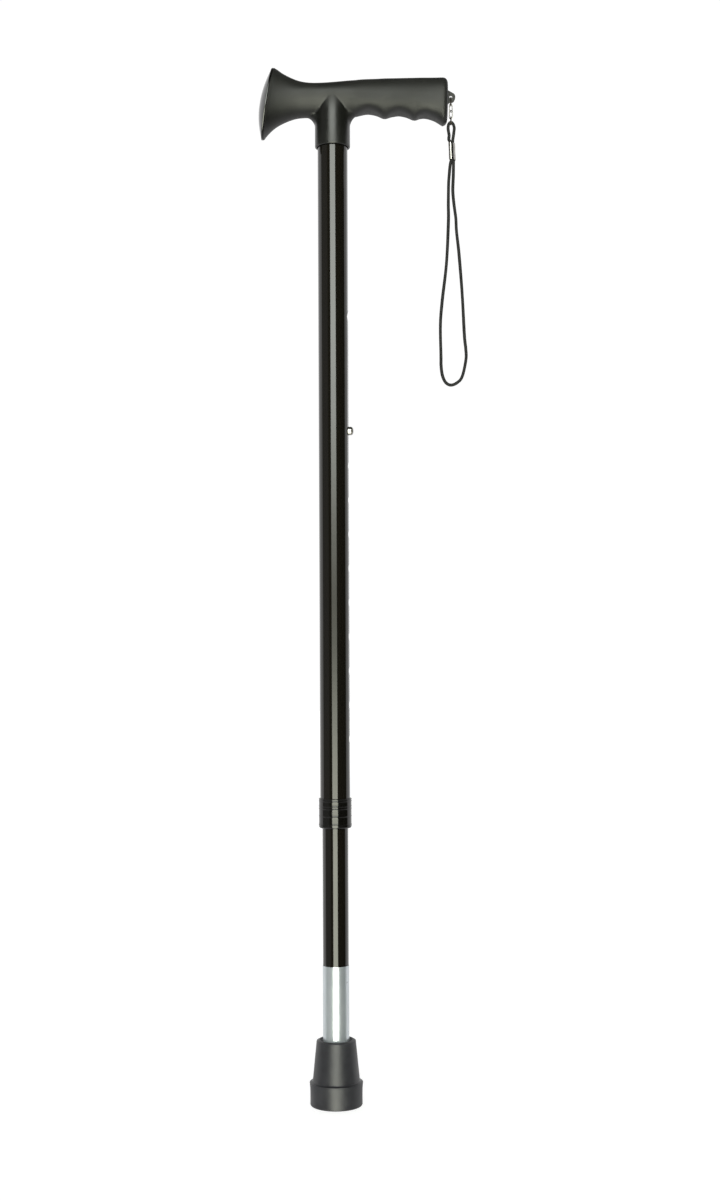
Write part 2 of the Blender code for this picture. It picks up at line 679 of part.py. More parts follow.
def make_rubber_tip(mat, parent):
    bore = LOWER_TUBE_RADIUS + GAP
    rim = bore + TIP_RIM_WALL
    cone = TIP_CONE_BOTTOM_RADIUS
    foot = TIP_FOOT_HEIGHT
    rounding, edge = TIP_RIM_ROUNDING, TIP_FOOT_EDGE
    outside = [(bore + TIP_MOUTH_FLARE, TIP_HEIGHT)]
    outside += arc((rim - rounding, TIP_HEIGHT - rounding), rounding, 90, 0, 3)
    outside += [(cone, foot + TIP_FOOT_FILLET), (cone + TIP_FOOT_FILLET / 2, foot)]
    outside += arc((TIP_RADIUS + TIP_SHOULDER_FLARE - edge, foot - edge), edge, 90, 0, 2)
    outside.append((TIP_RADIUS, foot - TIP_SHOULDER_DEPTH))
    outside += arc((TIP_RADIUS - TIP_CORNER, TIP_CORNER), TIP_CORNER, 0, -90, 3)
    treads = []
    for inner, outer in sorted(TREAD_GROOVES, reverse=True):
        floor = [(outer - TREAD_SLOPE, TREAD_DEPTH), (inner + TREAD_SLOPE, TREAD_DEPTH)]
        treads += [(outer, 0), *floor, (inner, 0)]
    inside = [(0, 0), (0, TIP_FLOOR), (bore, TIP_FLOOR), (bore, TIP_HEIGHT - TIP_MOUTH_DEPTH)]
    return finish("rubber_tip", turned(outside + treads + inside, 48), mat, parent)


def make_tip_washer(mat, parent):
    bottom = TIP_FLOOR + GAP
    top = bottom + WASHER_THICKNESS
    profile = [(0, bottom), (LOWER_TUBE_RADIUS, bottom), (LOWER_TUBE_RADIUS, top), (0, top)]
    return finish("tip_washer", turned(profile, 32), mat, parent)


def make_label(mat, parent):
    inner = LOWER_TUBE_RADIUS + LABEL_GAP
    outer = inner + LABEL_THICKNESS
    bottom = TIP_HEIGHT - LABEL_INTO_TIP
    profile = [(inner, bottom), (outer, bottom), (outer, LABEL_TOP), (inner, LABEL_TOP)]
    return finish("label_band", turned(profile, 48), mat, parent)


def link_tops():
    """Height of the top of each link's centre line, from the lug's hole down."""
    heights = []
    seat = GRIP_HEIGHT + LUG_HOLE_RISE - LUG_HOLE_RADIUS
    for name, length, width, wire, turn in LINKS:
        gap = LINK_GAP if heights else LUG_SEAT_GAP
        heights.append(seat + gap + wire)
        seat = heights[-1] - length + wire
    return heights, seat


def strap_x():
    return GRIP_END + LUG_HOLE_OUT


def make_link(name, length, width, wire, turn, top, mat, parent):
    """An oval of wire in an upright plane, turned about Z."""
    bow = width / 2
    path = arc((0, top - bow), bow, 0, 180, 5) + arc((0, top - length + bow), bow, 180, 360, 5)
    curve = bpy.data.curves.new(name, "CURVE")
    curve.dimensions = "3D"
    curve.bevel_depth = wire
    curve.bevel_resolution = 1
    spline = curve.splines.new("POLY")
    spline.points.add(len(path) - 1)
    c, s = math.cos(math.radians(turn)), math.sin(math.radians(turn))
    for point, (u, z) in zip(spline.points, path):
        point.co = (u * c, u * s, z, 1)
    spline.use_cyclic_u = True
    return place_curve(name, curve, mat, parent)


def place_curve(name, curve, mat, parent):
    curve.use_fill_caps = True
    curve.materials.append(mat)
    thing = bpy.data.objects.new(name, curve)
    bpy.context.collection.objects.link(thing)
    thing.parent = parent
    thing.location = Vector((strap_x(), 0, 0)) - parent.location
    return thing


def cord(name, route, points, mat, parent):
    """A round cord through `points` evenly spaced points of a smooth curve along the route."""
    dense = [Vector(p) for p in smooth_values(route, 24)]
    lengths = [0.0]
    for a, b in zip(dense, dense[1:]):
        lengths.append(lengths[-1] + (b - a).length)
    even, k = [], 0
    for i in range(points):
        want = lengths[-1] * i / (points - 1)
        while k < len(lengths) - 2 and lengths[k + 1] < want:
            k += 1
        share = (want - lengths[k]) / (lengths[k + 1] - lengths[k])
        even.append(dense[k].lerp(dense[k + 1], share))
    curve = bpy.data.curves.new(name, "CURVE")
    curve.dimensions = "3D"
    curve.bevel_depth = CORD_RADIUS
    curve.bevel_resolution = 2
    spline = curve.splines.new("POLY")
    spline.points.add(points - 1)
    for point, co in zip(spline.points, even):
        point.co = (*co, 1)
    return place_curve(name, curve, mat, parent)


# The cord eye's two sides, in millimetres from the sleeve's top under the chain: X, Y, rise
EYE_LEFT = (
    (-0.1, -1.0, -6.1),
    (-0.27, -1.0, -1.8),
    (-0.4, -1.0, -0.2),
    (-0.9, -1.0, 0.9),
    (-1.7, -0.85, 2.6),
    (-1.4, -0.5, 5.4),
    (-1.85, -0.2, 8.4),
    (-2.1, 0.0, 11.3),
    (-1.5, 0.0, 14.2),
)
EYE_RIGHT = (
    (1.5, 0.0, 14.2),
    (2.45, 0.0, 11.3),
    (2.2, 0.15, 8.4),
    (1.85, 0.45, 5.4),
    (1.4, 0.85, 2.6),
    (1.35, 1.0, 0.3),
    (1.41, 1.0, -1.8),
    (1.58, 1.0, -6.1),
)

# The wrist loop's route, in millimetres from the sleeve's bottom end: X, Y, rise
WRIST_ROUTE = (
    (-1.08, -1.0, 6.1),
    (-0.85, -1.0, 0.3),
    (-1.5, -1.0, -2.8),
    (-1.95, -1.0, -5.8),
    (-2.75, -0.95, -14.6),
    (-3.0, -0.9, -19.2),
    (-3.2, -0.5, -32.5),
    (-3.2, -0.2, -46.6),
    (-4.75, 0.0, -76.8),
    (-7.95, 0.0, -104.0),
    (-9.4, 0.0, -122.2),
    (-9.1, 0.0, -144.8),
    (-9.0, 0.0, -153.0),
    (-8.0, 0.0, -160.0),
    (-5.6, 0.0, -165.0),
    (-1.9, 0.0, -166.9),
    (2.7, 0.0, -165.2),
    (6.6, 0.0, -160.5),
    (9.4, 0.0, -148.0),
    (9.3, 0.0, -140.0),
    (8.3, 0.0, -129.7),
    (6.8, 0.0, -99.3),
    (4.55, 0.2, -69.3),
    (2.85, 0.3, -53.2),
    (2.4, 0.4, -43.7),
    (1.75, 0.5, -38.3),
    (0.95, 0.6, -32.0),
    (0.35, 0.8, -25.2),
    (0.25, 0.85, -20.5),
    (0.65, 0.9, -11.8),
    (0.8, 0.97, -5.0),
    (0.84, 1.0, 0.3),
    (0.6, 1.0, 6.1),
)


def in_metres(route, base):
    return [tuple(b + v * MM for b, v in zip(base, row)) for row in route]


def make_strap(metal, cloth, parent):
    eye_top = link_tops()[1] + GAP + CORD_RADIUS
    sleeve_top = eye_top - SLEEVE_DROP
    sleeve_bottom = sleeve_top - SLEEVE_LENGTH
    left = in_metres(EYE_LEFT, (0, 0, sleeve_top))
    right = in_metres(EYE_RIGHT, (0, 0, sleeve_top))
    cord("cord_eye", left + [(0, 0, eye_top)] + right, 26, cloth, parent)

    reach_y = STRAND_OFFSET + CORD_RADIUS + GAP
    reach_x = CORD_RADIUS + GAP

    def tube(bottom, top, wall):
        rings = []
        for height in (bottom, top):
            lean = SLEEVE_SHIFT + SLEEVE_LEAN * (sleeve_top - height) / SLEEVE_LENGTH
            rings.append(oval(height, reach_x + wall, reach_y + wall, lean))
        return loft(rings)

    at = (strap_x(), 0, 0)
    sleeve = finish("strap_ferrule", tube(sleeve_bottom, sleeve_top, SLEEVE_WALL), metal, parent, at)
    bore = finish("sleeve_bore", tube(sleeve_bottom - MM, sleeve_top + MM, 0.0), metal, parent, at)
    cut(sleeve, bore)

    route = in_metres(WRIST_ROUTE, (SLEEVE_SHIFT + SLEEVE_LEAN, 0, sleeve_bottom))
    cord("wrist_cord", route, 64, cloth, parent)


def oval(height, reach_x, reach_y, lean, segments=24):
    """One ring of the sleeve: a rounded rectangle whose centre is `lean` off the chain's line."""
    points = []
    for i in range(segments):
        angle = 2 * math.pi * i / segments
        c, s = math.cos(angle), math.sin(angle)
        x = reach_x * math.copysign(abs(c) ** SLEEVE_SQUARENESS, c)
        y = reach_y * math.copysign(abs(s) ** SLEEVE_SQUARENESS, s)
        points.append(Matrix.Rotation(math.radians(SLEEVE_TURN), 3, "Z") @ Vector((x, y, height)))
        points[-1].x += lean
    return points


clear_scene()

black_plastic = material("black_plastic", (0.020, 0.020, 0.019), 0.5)
gloss_plastic = material("gloss_plastic", (0.010, 0.010, 0.011), 0.15)
black_enamel = material("black_enamel", (0.008, 0.008, 0.008), 0.12)
nylon = material("nylon", (0.55, 0.55, 0.52), 0.45)
steel = material("steel", (0.60, 0.60, 0.60), 0.3, 1.0)
nickel = material("nickel", (0.72, 0.72, 0.70), 0.2, 1.0)
rubber = material("rubber", (0.045, 0.046, 0.048), 0.7)
silver_foil = material("silver_foil", (0.70, 0.73, 0.76), 0.35, 0.8)
black_cord = material("black_cord", (0.012, 0.012, 0.013), 0.85)

make_handle(black_plastic)
make_nose_cap(gloss_plastic)
make_upper_tube(black_enamel)
make_tube_plug(nylon)
make_handle_screw(steel)

# The lower tube and what it carries slide along Z
height_axis = joint_empty("height_adjust_axis", (0, 0, BUTTON_HEIGHT))
make_lower_tube(black_enamel, height_axis)
make_guide_bush(nylon, height_axis)
make_snap_spring(steel, height_axis)
make_tip_washer(steel, height_axis)
make_rubber_tip(rubber, height_axis)
make_label(silver_foil, height_axis)

# The button travels along X
button_axis = joint_empty("button_press_axis", (0, 0, BUTTON_HEIGHT))
make_snap_button(nickel, button_axis)

# The lock ring turns about Z, and the clamp ring moves along the thread with it
ring_axis = joint_empty("lock_ring_axis", (0, 0, UPPER_TUBE_END))
make_clamp_ring(nylon, ring_axis)
make_lock_ring(gloss_plastic, ring_axis)

# The strap hangs from the lug's hole: the first link swings about Y in the hole, and the rest
# about X round the middle of the first link's lower bow
link_heights = link_tops()[0]
lug_hole = (strap_x(), 0, GRIP_HEIGHT + LUG_HOLE_RISE)
lower_bow = (strap_x(), 0, link_heights[0] - LINKS[0][1] + LINKS[0][2] / 2)
first_link_axis = joint_empty("strap_swing_axis", lug_hole)
side_axis = joint_empty("strap_side_swing_axis", lower_bow)
for number, (link, height) in enumerate(zip(LINKS, link_heights)):
    make_link(*link, height, nickel, side_axis if number else first_link_axis)
make_strap(nickel, black_cord, side_axis)
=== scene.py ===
# Adjustable walking stick, dressed from the rubber tip to the wrist strap.
# Metres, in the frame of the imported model: +Z up the shaft, the grip's long end to +X.

import math

import bmesh
import bpy
from mathutils import Matrix, Vector


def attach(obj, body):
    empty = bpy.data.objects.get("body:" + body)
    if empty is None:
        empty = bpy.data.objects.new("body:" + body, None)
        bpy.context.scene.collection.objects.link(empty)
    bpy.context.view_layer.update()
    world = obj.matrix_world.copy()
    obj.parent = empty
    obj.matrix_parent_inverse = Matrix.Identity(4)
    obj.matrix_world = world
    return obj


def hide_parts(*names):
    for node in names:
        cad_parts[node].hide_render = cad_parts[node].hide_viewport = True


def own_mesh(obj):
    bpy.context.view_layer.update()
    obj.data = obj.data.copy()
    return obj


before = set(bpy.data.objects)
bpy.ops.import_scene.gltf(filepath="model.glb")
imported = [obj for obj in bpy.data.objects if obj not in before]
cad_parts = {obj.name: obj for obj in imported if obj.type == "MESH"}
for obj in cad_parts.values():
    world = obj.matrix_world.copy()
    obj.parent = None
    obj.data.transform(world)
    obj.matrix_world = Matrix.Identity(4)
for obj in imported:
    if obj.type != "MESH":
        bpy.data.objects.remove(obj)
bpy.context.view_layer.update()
MM = 0.001


# Camera: level with the middle of the shaft, so the handle is seen from a little below and the
# rubber tip from a little above. It is rolled a quarter of a degree, so the shaft leans a little.
CAMERA_PLACE = (0.0188, -1.235, 0.337)
CAMERA_ROLL = -0.00418
CAMERA_SHIFT = 50 / 1200
lens = bpy.data.cameras.new("camera")
lens.lens = 50
lens.sensor_width = 36
lens.shift_y = CAMERA_SHIFT
lens.clip_start = 0.01
camera = bpy.data.objects.new("camera", lens)
bpy.context.collection.objects.link(camera)
level = Matrix.Rotation(math.radians(90), 4, "X")
roll = Matrix.Rotation(CAMERA_ROLL, 4, "Z")
camera.matrix_world = Matrix.Translation(CAMERA_PLACE) @ level @ roll
bpy.context.scene.camera = camera


# Wrist cord: a soft round polyester cord of sixteen plaited yarns, dyed black. One length is
# folded double, both strands are crimped in a sleeve, and the small eye above it hangs on the
# chain. It hangs as one long narrow loop.
CORD_RADIUS = 1.15 * MM
CORD_SIDES = 16
CORD_STEP = 0.9 * MM
CORD_OVAL = 0.035
CORD_LAY = 55 * MM
YARN_PITCH = 1.1 * MM
YARNS_EACH_WAY = 8.0
ROUTE_STEPS = 24
STRAP_X = 87.8 * MM
EYE_TOP = 727.8 * MM
SLEEVE_TOP = 712.4 * MM
SLEEVE_BOTTOM = 699.9 * MM
EYE_LEFT = (
    (-0.1, -1.0, -6.1),
    (-0.27, -1.0, -1.8),
    (-0.4, -1.0, -0.2),
    (-0.9, -1.0, 0.9),
    (-1.7, -0.85, 2.6),
    (-1.4, -0.5, 5.4),
    (-1.85, -0.2, 8.4),
    (-2.1, 0.0, 11.3),
    (-1.5, 0.0, 14.2),
)
EYE_RIGHT = (
    (1.5, 0.0, 14.2),
    (2.45, 0.0, 11.3),
    (2.2, 0.15, 8.4),
    (1.85, 0.45, 5.4),
    (1.4, 0.85, 2.6),
    (1.35, 1.0, 0.3),
    (1.41, 1.0, -1.8),
    (1.58, 1.0, -6.1),
)
WRIST_ROUTE = (
    (-1.08, -1.0, 6.1),
    (-0.85, -1.0, 0.3),
    (-1.5, -1.0, -2.8),
    (-1.95, -1.0, -5.8),
    (-2.75, -0.95, -14.6),
    (-3.0, -0.9, -19.2),
    (-3.2, -0.5, -32.5),
    (-3.2, -0.2, -46.6),
    (-4.75, 0.0, -76.8),
    (-7.95, 0.0, -104.0),
    (-9.4, 0.0, -122.2),
    (-9.1, 0.0, -144.8),
    (-9.0, 0.0, -153.0),
    (-8.0, 0.0, -160.0),
    (-5.6, 0.0, -165.0),
    (-1.9, 0.0, -166.9),
    (2.7, 0.0, -165.2),
    (6.6, 0.0, -160.5),
    (9.4, 0.0, -148.0),
    (9.3, 0.0, -140.0),
    (8.3, 0.0, -129.7),
    (6.8, 0.0, -99.3),
    (4.55, 0.2, -69.3),
    (2.85, 0.3, -53.2),
    (2.4, 0.4, -43.7),
    (1.75, 0.5, -38.3),
    (0.95, 0.6, -32.0),
    (0.35, 0.8, -25.2),
    (0.25, 0.85, -20.5),
    (0.65, 0.9, -11.8),
    (0.8, 0.97, -5.0),
    (0.84, 1.0, 0.3),
    (0.6, 1.0, 6.1),
)


def smooth_rows(rows, steps):
    """Reads rows from a smooth curve through the given ones, `steps` from each to the next."""
    out = []
    last = len(rows) - 1
    for i in range(last):
        before, start = rows[max(i - 1, 0)], rows[i]
        end, after = rows[i + 1], rows[min(i + 2, last)]
        for k in range(steps):
            t = k / steps
            out.append(
                tuple(
                    b + 0.5 * t * (c - a + t * (2 * a - 5 * b + 4 * c - d + t * (3 * (b - c) + d - a)))
                    for a, b, c, d in zip(before, start, end, after)
                )
            )
    out.append(tuple(rows[-1]))
    return out


def spaced(route, step):
    """Even points along a smooth curve through the route, and the curve's length."""
    dense = [Vector(p) for p in smooth_rows(route, ROUTE_STEPS)]
    along = [0.0]
    for a, b in zip(dense, dense[1:]):
        along.append(along[-1] + (b - a).length)
    count = round(along[-1] / step)
    points, k = [], 0
    for i in range(count + 1):
        want = along[-1] * i / count
        while k < len(along) - 2 and along[k + 1] < want:
            k += 1
        points.append(dense[k].lerp(dense[k + 1], (want - along[k]) / (along[k + 1] - along[k])))
    return points, along[-1]


def grown_ring(bm, ring, edges):
    """Extrudes a closed row of edges once. The new vertices keep the order of the old ones."""
    grown = bmesh.ops.extrude_edge_only(bm, edges=edges)["geom"]
    fresh = {v for v in grown if isinstance(v, bmesh.types.BMVert)}
    ring = [next(e.other_vert(v) for e in v.link_edges if e.other_vert(v) in fresh) for v in ring]
    edges = [e for e in grown if isinstance(e, bmesh.types.BMEdge) and set(e.verts) <= fresh]
    return ring, edges


def drawn_tube(points, radius, sides, flatten=0.0, closed=False):
    """Draws a round section along the points. UV is the distance along and the turn around.
    `flatten` makes it a little oval, with the oval turning slowly as a cord's lay does."""
    bm = bmesh.new()
    uv = bm.loops.layers.uv.new("UVMap")
    along = bm.verts.layers.float.new("along")
    around = bm.verts.layers.int.new("around")
    ring = bmesh.ops.create_circle(bm, segments=sides, radius=radius)["verts"]
    edges = list(bm.edges)
    flat = [v.co.copy() for v in ring]
    for number, vert in enumerate(ring):
        vert[around] = number
    run = 0.0
    turn = (points[1] - points[0]).to_track_quat("Z", "Y")
    for i, point in enumerate(points):
        last = i + 1 == len(points)
        ahead = points[1] if closed and last else points[i if last else i + 1]
        behind = points[-2] if closed and not i else points[max(i - 1, 0)]
        forward = (ahead - behind).normalized()
        turn = (turn @ Vector((0, 0, 1))).rotation_difference(forward) @ turn
        if i:
            run += (point - points[i - 1]).length
            ring, edges = grown_ring(bm, ring, edges)
        lay = 2 * math.pi * run / CORD_LAY
        for number, (vert, co) in enumerate(zip(ring, flat)):
            oval = 1 + flatten * math.cos(2 * math.atan2(co.y, co.x) + lay)
            vert.co = point + turn @ (co * oval)
            vert[along] = run
            vert[around] = number
    for face in bm.faces:
        seam = {v[around] for v in face.verts} >= {0, sides - 1}
        for loop in face.loops:
            number = loop.vert[around]
            loop[uv].uv = (loop.vert[along], (sides if seam and number == 0 else number) / sides)
    if closed:
        bmesh.ops.remove_doubles(bm, verts=bm.verts, dist=1e-6)
    else:
        bmesh.ops.holes_fill(bm, edges=[e for e in bm.edges if e.is_boundary], sides=0)
    bmesh.ops.recalc_face_normals(bm, faces=bm.faces)
    return bm


def made_piece(name, bm, finish, sharp=35):
    """Turns a bmesh into a smooth-shaded object in its place, with its finish."""
    mesh = bpy.data.meshes.new(name)
    bm.to_mesh(mesh)
    bm.free()
    mesh.shade_smooth()
    mesh.set_sharp_from_angle(angle=math.radians(sharp))
    mesh.materials.append(finish)
    piece = bpy.data.objects.new(name, mesh)
    bpy.context.collection.objects.link(piece)
    return piece


def stands_for(piece, node, body):
    """The piece takes a node's place and moves with its body."""
    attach(piece, body)
    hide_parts(node)


def new_finish(name, colour, roughness, metallic=0.0):
    """A material with plain values, and its node tree and shader for what varies."""
    finish = bpy.data.materials.new(name)
    finish.use_nodes = True
    shader = finish.node_tree.nodes["Principled BSDF"]
    shader.inputs["Base Color"].default_value = (*colour, 1)
    shader.inputs["Roughness"].default_value = roughness
    shader.inputs["Metallic"].default_value = metallic
    return finish, finish.node_tree, shader


def add(tree, kind, sockets=None, **settings):
    """Adds a node, with its settings and with a value or a link for each named socket."""
    made = tree.nodes.new("ShaderNode" + kind)
    for key, value in settings.items():
        setattr(made, key, value)
    for key, value in (sockets or {}).items():
        if isinstance(value, bpy.types.NodeSocket):
            tree.links.new(value, made.inputs[key])
        else:
            made.inputs[key].default_value = value
    return made


def math_of(tree, operation, first, second=0.0, third=0.0):
    """The result of a Math node."""
    return add(tree, "Math", {0: first, 1: second, 2: third}, operation=operation).outputs[0]


cord_finish, tree, shader = new_finish("plaited_cord", (0.012, 0.012, 0.012), 0.72)
shader.inputs["Sheen Weight"].default_value = 0.06
shader.inputs["Sheen Roughness"].default_value = 0.4
shader.inputs["Sheen Tint"].default_value = (0.55, 0.57, 0.5, 1)
place = add(tree, "UVMap")
split = add(tree, "SeparateXYZ", {0: place.outputs["UV"]})
turns = math_of(tree, "MULTIPLY", split.outputs["Y"], YARNS_EACH_WAY)
climb = math_of(tree, "MULTIPLY", split.outputs["X"], 1 / YARN_PITCH)
right_hand = math_of(tree, "ADD", turns, climb)
left_hand = math_of(tree, "SUBTRACT", turns, climb)
cells = math_of(tree, "ADD", math_of(tree, "FLOOR", right_hand), math_of(tree, "FLOOR", left_hand))
over = math_of(tree, "PINGPONG", cells, 1.0)
right_yarn = math_of(tree, "PINGPONG", right_hand, 0.5)
left_yarn = math_of(tree, "PINGPONG", left_hand, 0.5)
yarn = add(tree, "Mix", {"Factor": over, "A": right_yarn, "B": left_yarn}).outputs[0]
yarn_round = math_of(tree, "POWER", math_of(tree, "MULTIPLY", yarn, 2.0), 0.6)
fluff = add(tree, "TexNoise", {"Scale": 2600.0, "Detail": 3.0})
yarn_height = math_of(tree, "MULTIPLY_ADD", fluff.outputs[0], 0.3, yarn_round)
bump = add(tree, "Bump", {"Strength": 0.6, "Distance": 0.0001, "Height": yarn_height})
tree.links.new(bump.outputs[0], shader.inputs["Normal"])
worn = add(tree, "TexNoise", {"Scale": 70.0, "Detail": 5.0})
fade = math_of(tree, "MULTIPLY", math_of(tree, "MULTIPLY", yarn_round, 0.6), worn.outputs[0])
dye = add(tree, "Mix", {"Factor": fade}, data_type="RGBA")
dye.inputs["A"].default_value = (0.004, 0.004, 0.004, 1)
dye.inputs["B"].default_value = (0.022, 0.022, 0.019, 1)
tree.links.new(dye.outputs["Result"], shader.inputs["Base Color"])


def hung_cord(name, node, route):
    points, length = spaced(route, CORD_STEP)
    bm = drawn_tube(points, CORD_RADIUS, CORD_SIDES, CORD_OVAL)
    piece = made_piece(name, bm, cord_finish, 60)
    stands_for(piece, node, "strap")


def route_from(rows, lean, level):
    """A cord's points from its rows, which are in millimetres from an end of the sleeve."""
    return [(STRAP_X + lean + x * MM, y * MM, level + z * MM) for x, y, z in rows]


# Ferrule: a short sleeve of bright plated sheet, rolled round the two strands and pressed oval,
# a little closer at its middle. Its seam is at the back.
FIT = 0.3 * MM
SLEEVE_WALL = 0.4 * MM
SLEEVE_INSIDE = 0.02 * MM
SLEEVE_SQUARENESS = 0.8
SLEEVE_PINCH = 0.10 * MM
SLEEVE_SIDES = 48
SLEEVE_STEPS = 24
SLEEVE_LIP = ((0.0, 0.28 * MM), (0.004, 0.36 * MM), (0.012, 0.40 * MM))
SLEEVE_TURN = Matrix.Rotation(math.radians(-40), 3, "Z")
STRAND_OFFSET = 1.3 * MM


def sleeve_ring(share, wall, pinch=0.0):
    """One ring round both strands, at a share of the sleeve's height."""
    height = SLEEVE_BOTTOM + (SLEEVE_TOP - SLEEVE_BOTTOM) * share
    lean = 0.5 * MM + 0.5 * MM * (SLEEVE_TOP - height) / (SLEEVE_TOP - SLEEVE_BOTTOM)
    reach_x = CORD_RADIUS + FIT + wall - pinch
    reach_y = STRAND_OFFSET + CORD_RADIUS + FIT + wall - pinch
    points = []
    for i in range(SLEEVE_SIDES):
        angle = 2 * math.pi * i / SLEEVE_SIDES
        c, s = math.cos(angle), math.sin(angle)
        x = reach_x * math.copysign(abs(c) ** SLEEVE_SQUARENESS, c)
        y = reach_y * math.copysign(abs(s) ** SLEEVE_SQUARENESS, s)
        points.append(SLEEVE_TURN @ Vector((x, y, height)) + Vector((STRAP_X + lean, 0, 0)))
    return points


def skinned(bm, rings, closed=False):
    """Extrudes the first ring from each ring to the next. Both ends are filled, or meet."""
    ring = [bm.verts.new(p) for p in rings[0]]
    first = edges = [bm.edges.new(pair) for pair in zip(ring, ring[1:] + ring[:1])]
    for points in rings[1:] + (rings[:1] if closed else []):
        ring, edges = grown_ring(bm, ring, edges)
        for vert, point in zip(ring, points):
            vert.co = point
    if closed:
        bmesh.ops.remove_doubles(bm, verts=bm.verts, dist=1e-7)
    else:
        bmesh.ops.contextual_create(bm, geom=first)
        bmesh.ops.contextual_create(bm, geom=edges)


rings = [sleeve_ring(i / SLEEVE_STEPS, SLEEVE_INSIDE) for i in range(SLEEVE_STEPS + 1)]
rings += [sleeve_ring(1 - share, wall) for share, wall in SLEEVE_LIP]
for i in range(1, SLEEVE_STEPS):
    share = 1 - i / SLEEVE_STEPS
    pinch = SLEEVE_PINCH * math.exp(-(((share - 0.5) / 0.16) ** 2))
    rings.append(sleeve_ring(share, SLEEVE_WALL, pinch))
rings += [sleeve_ring(share, wall) for share, wall in reversed(SLEEVE_LIP)]
bm = bmesh.new()
skinned(bm, rings, closed=True)
bmesh.ops.recalc_face_normals(bm, faces=bm.faces)


def skin_on(tree, shader, group, *values):
    """Puts a surface group into a material, with a value for each of its inputs in turn, and
    links its roughness and its normal."""
    skin = tree.nodes.new("ShaderNodeGroup")
    skin.node_tree = group
    for socket, value in zip(skin.inputs, values):
        socket.default_value = value
    tree.links.new(skin.outputs["Roughness"], shader.inputs["Roughness"])
    tree.links.new(skin.outputs["Normal"], shader.inputs["Normal"])
    return skin


def two_tone(tree, shader, mask, dark, light):
    """Colours a material between two tones by a mask."""
    tone = add(tree, "Mix", {"Factor": mask}, data_type="RGBA")
    tone.inputs["A"].default_value = (*dark, 1)
    tone.inputs["B"].default_value = (*light, 1)
    tree.links.new(tone.outputs["Result"], shader.inputs["Base Color"])


def ramp(tree, value, low, high, start=0.0, end=1.0, shape="LINEAR"):
    """Runs from `start` to `end` while the value goes from `low` to `high`."""
    sockets = {0: value, 1: low, 2: high, 3: start, 4: end}
    return add(tree, "MapRange", sockets, interpolation_type=shape).outputs[0]


def scratched_plate():
    """Bright plate: fine marks that run along a small part, and a slight haze."""
    group = bpy.data.node_groups.new("scratched_plate", "ShaderNodeTree")
    for name, value in (("Marks", 3000.0), ("Bright", 0.12), ("Hazed", 0.3)):
        socket = group.interface.new_socket(name=name, in_out="INPUT", socket_type="NodeSocketFloat")
        socket.default_value = value
    for name, kind in (("Roughness", "Float"), ("Haze", "Float"), ("Normal", "Vector")):
        group.interface.new_socket(name=name, in_out="OUTPUT", socket_type="NodeSocket" + kind)
    inside = group.nodes.new("NodeGroupInput").outputs
    outside = group.nodes.new("NodeGroupOutput").inputs
    where = add(group, "TexCoord").outputs["Object"]
    stretch = add(group, "Mapping", {"Vector": where, "Scale": (1.0, 1.0, 0.08)}).outputs[0]
    marks = add(group, "TexNoise", {"Vector": stretch, "Scale": inside["Marks"], "Detail": 2.0})
    haze = add(group, "TexNoise", {"Vector": where, "Scale": 500.0, "Detail": 4.0})
    spread = ramp(group, haze.outputs[0], 0.35, 0.7)
    rough = add(group, "Mix", {"Factor": spread, "A": inside["Bright"], "B": inside["Hazed"]})
    bump = add(group, "Bump", {"Strength": 0.5, "Distance": 0.000006, "Height": marks.outputs[0]})
    group.links.new(rough.outputs[0], outside["Roughness"])
    group.links.new(spread, outside["Haze"])
    group.links.new(bump.outputs[0], outside["Normal"])
    return group


plated = scratched_plate()
nickel, tree, shader = new_finish("nickel_plate", (0.38, 0.37, 0.34), 0.25, 1.0)
skin = skin_on(tree, shader, plated, 3200.0, 0.20, 0.36)
two_tone(tree, shader, skin.outputs["Haze"], (0.33, 0.32, 0.30), (0.44, 0.43, 0.40))
sleeve = made_piece("crimped_sleeve", bm, nickel, 40)
stands_for(sleeve, "strap_ferrule", "strap")


# Strap's cord in the sleeve: the wrist loop hangs from the sleeve's lower end, and the eye goes
# up from its other end, round the last link of the chain. They are one length of cord.
eye_route = route_from(EYE_LEFT, 0.0, SLEEVE_TOP)
eye_route += [(STRAP_X, 0.0, EYE_TOP)] + route_from(EYE_RIGHT, 0.0, SLEEVE_TOP)
hung_cord("wrist_loop", "wrist_cord", route_from(WRIST_ROUTE, 1.0 * MM, SLEEVE_BOTTOM))
hung_cord("chain_eye", "cord_eye", eye_route)


# Handle: one piece moulded in satin black plastic, a T-shaped grip on a short socket. Three
# finger hollows run across the underside of its long end, and its nose flares to an oval seat.
# The mould's halves met on the middle plane, and left a hair line over the top and below.
GRIP_HEIGHT = 745.5 * MM
GRIP_SIDES = 96
STATION_STEPS = 5
END_ROUNDING = 3.6 * MM
SOCKET_RADIUS = 13.0 * MM
SOCKET_BELOW_GRIP = 36.6 * MM
SOCKET_RECESS = 4.0 * MM
SOCKET_EDGE = 0.9 * MM
SOCKET_POLISH = 0.22
TUBE_RADIUS = 11.1 * MM
ARCH_FOOT = 22 * MM
ARCH_FRONT, ARCH_BACK, ARCH_SIDE = 9.0 * MM, 10.0 * MM, 6.4 * MM
VOXEL = 0.45 * MM
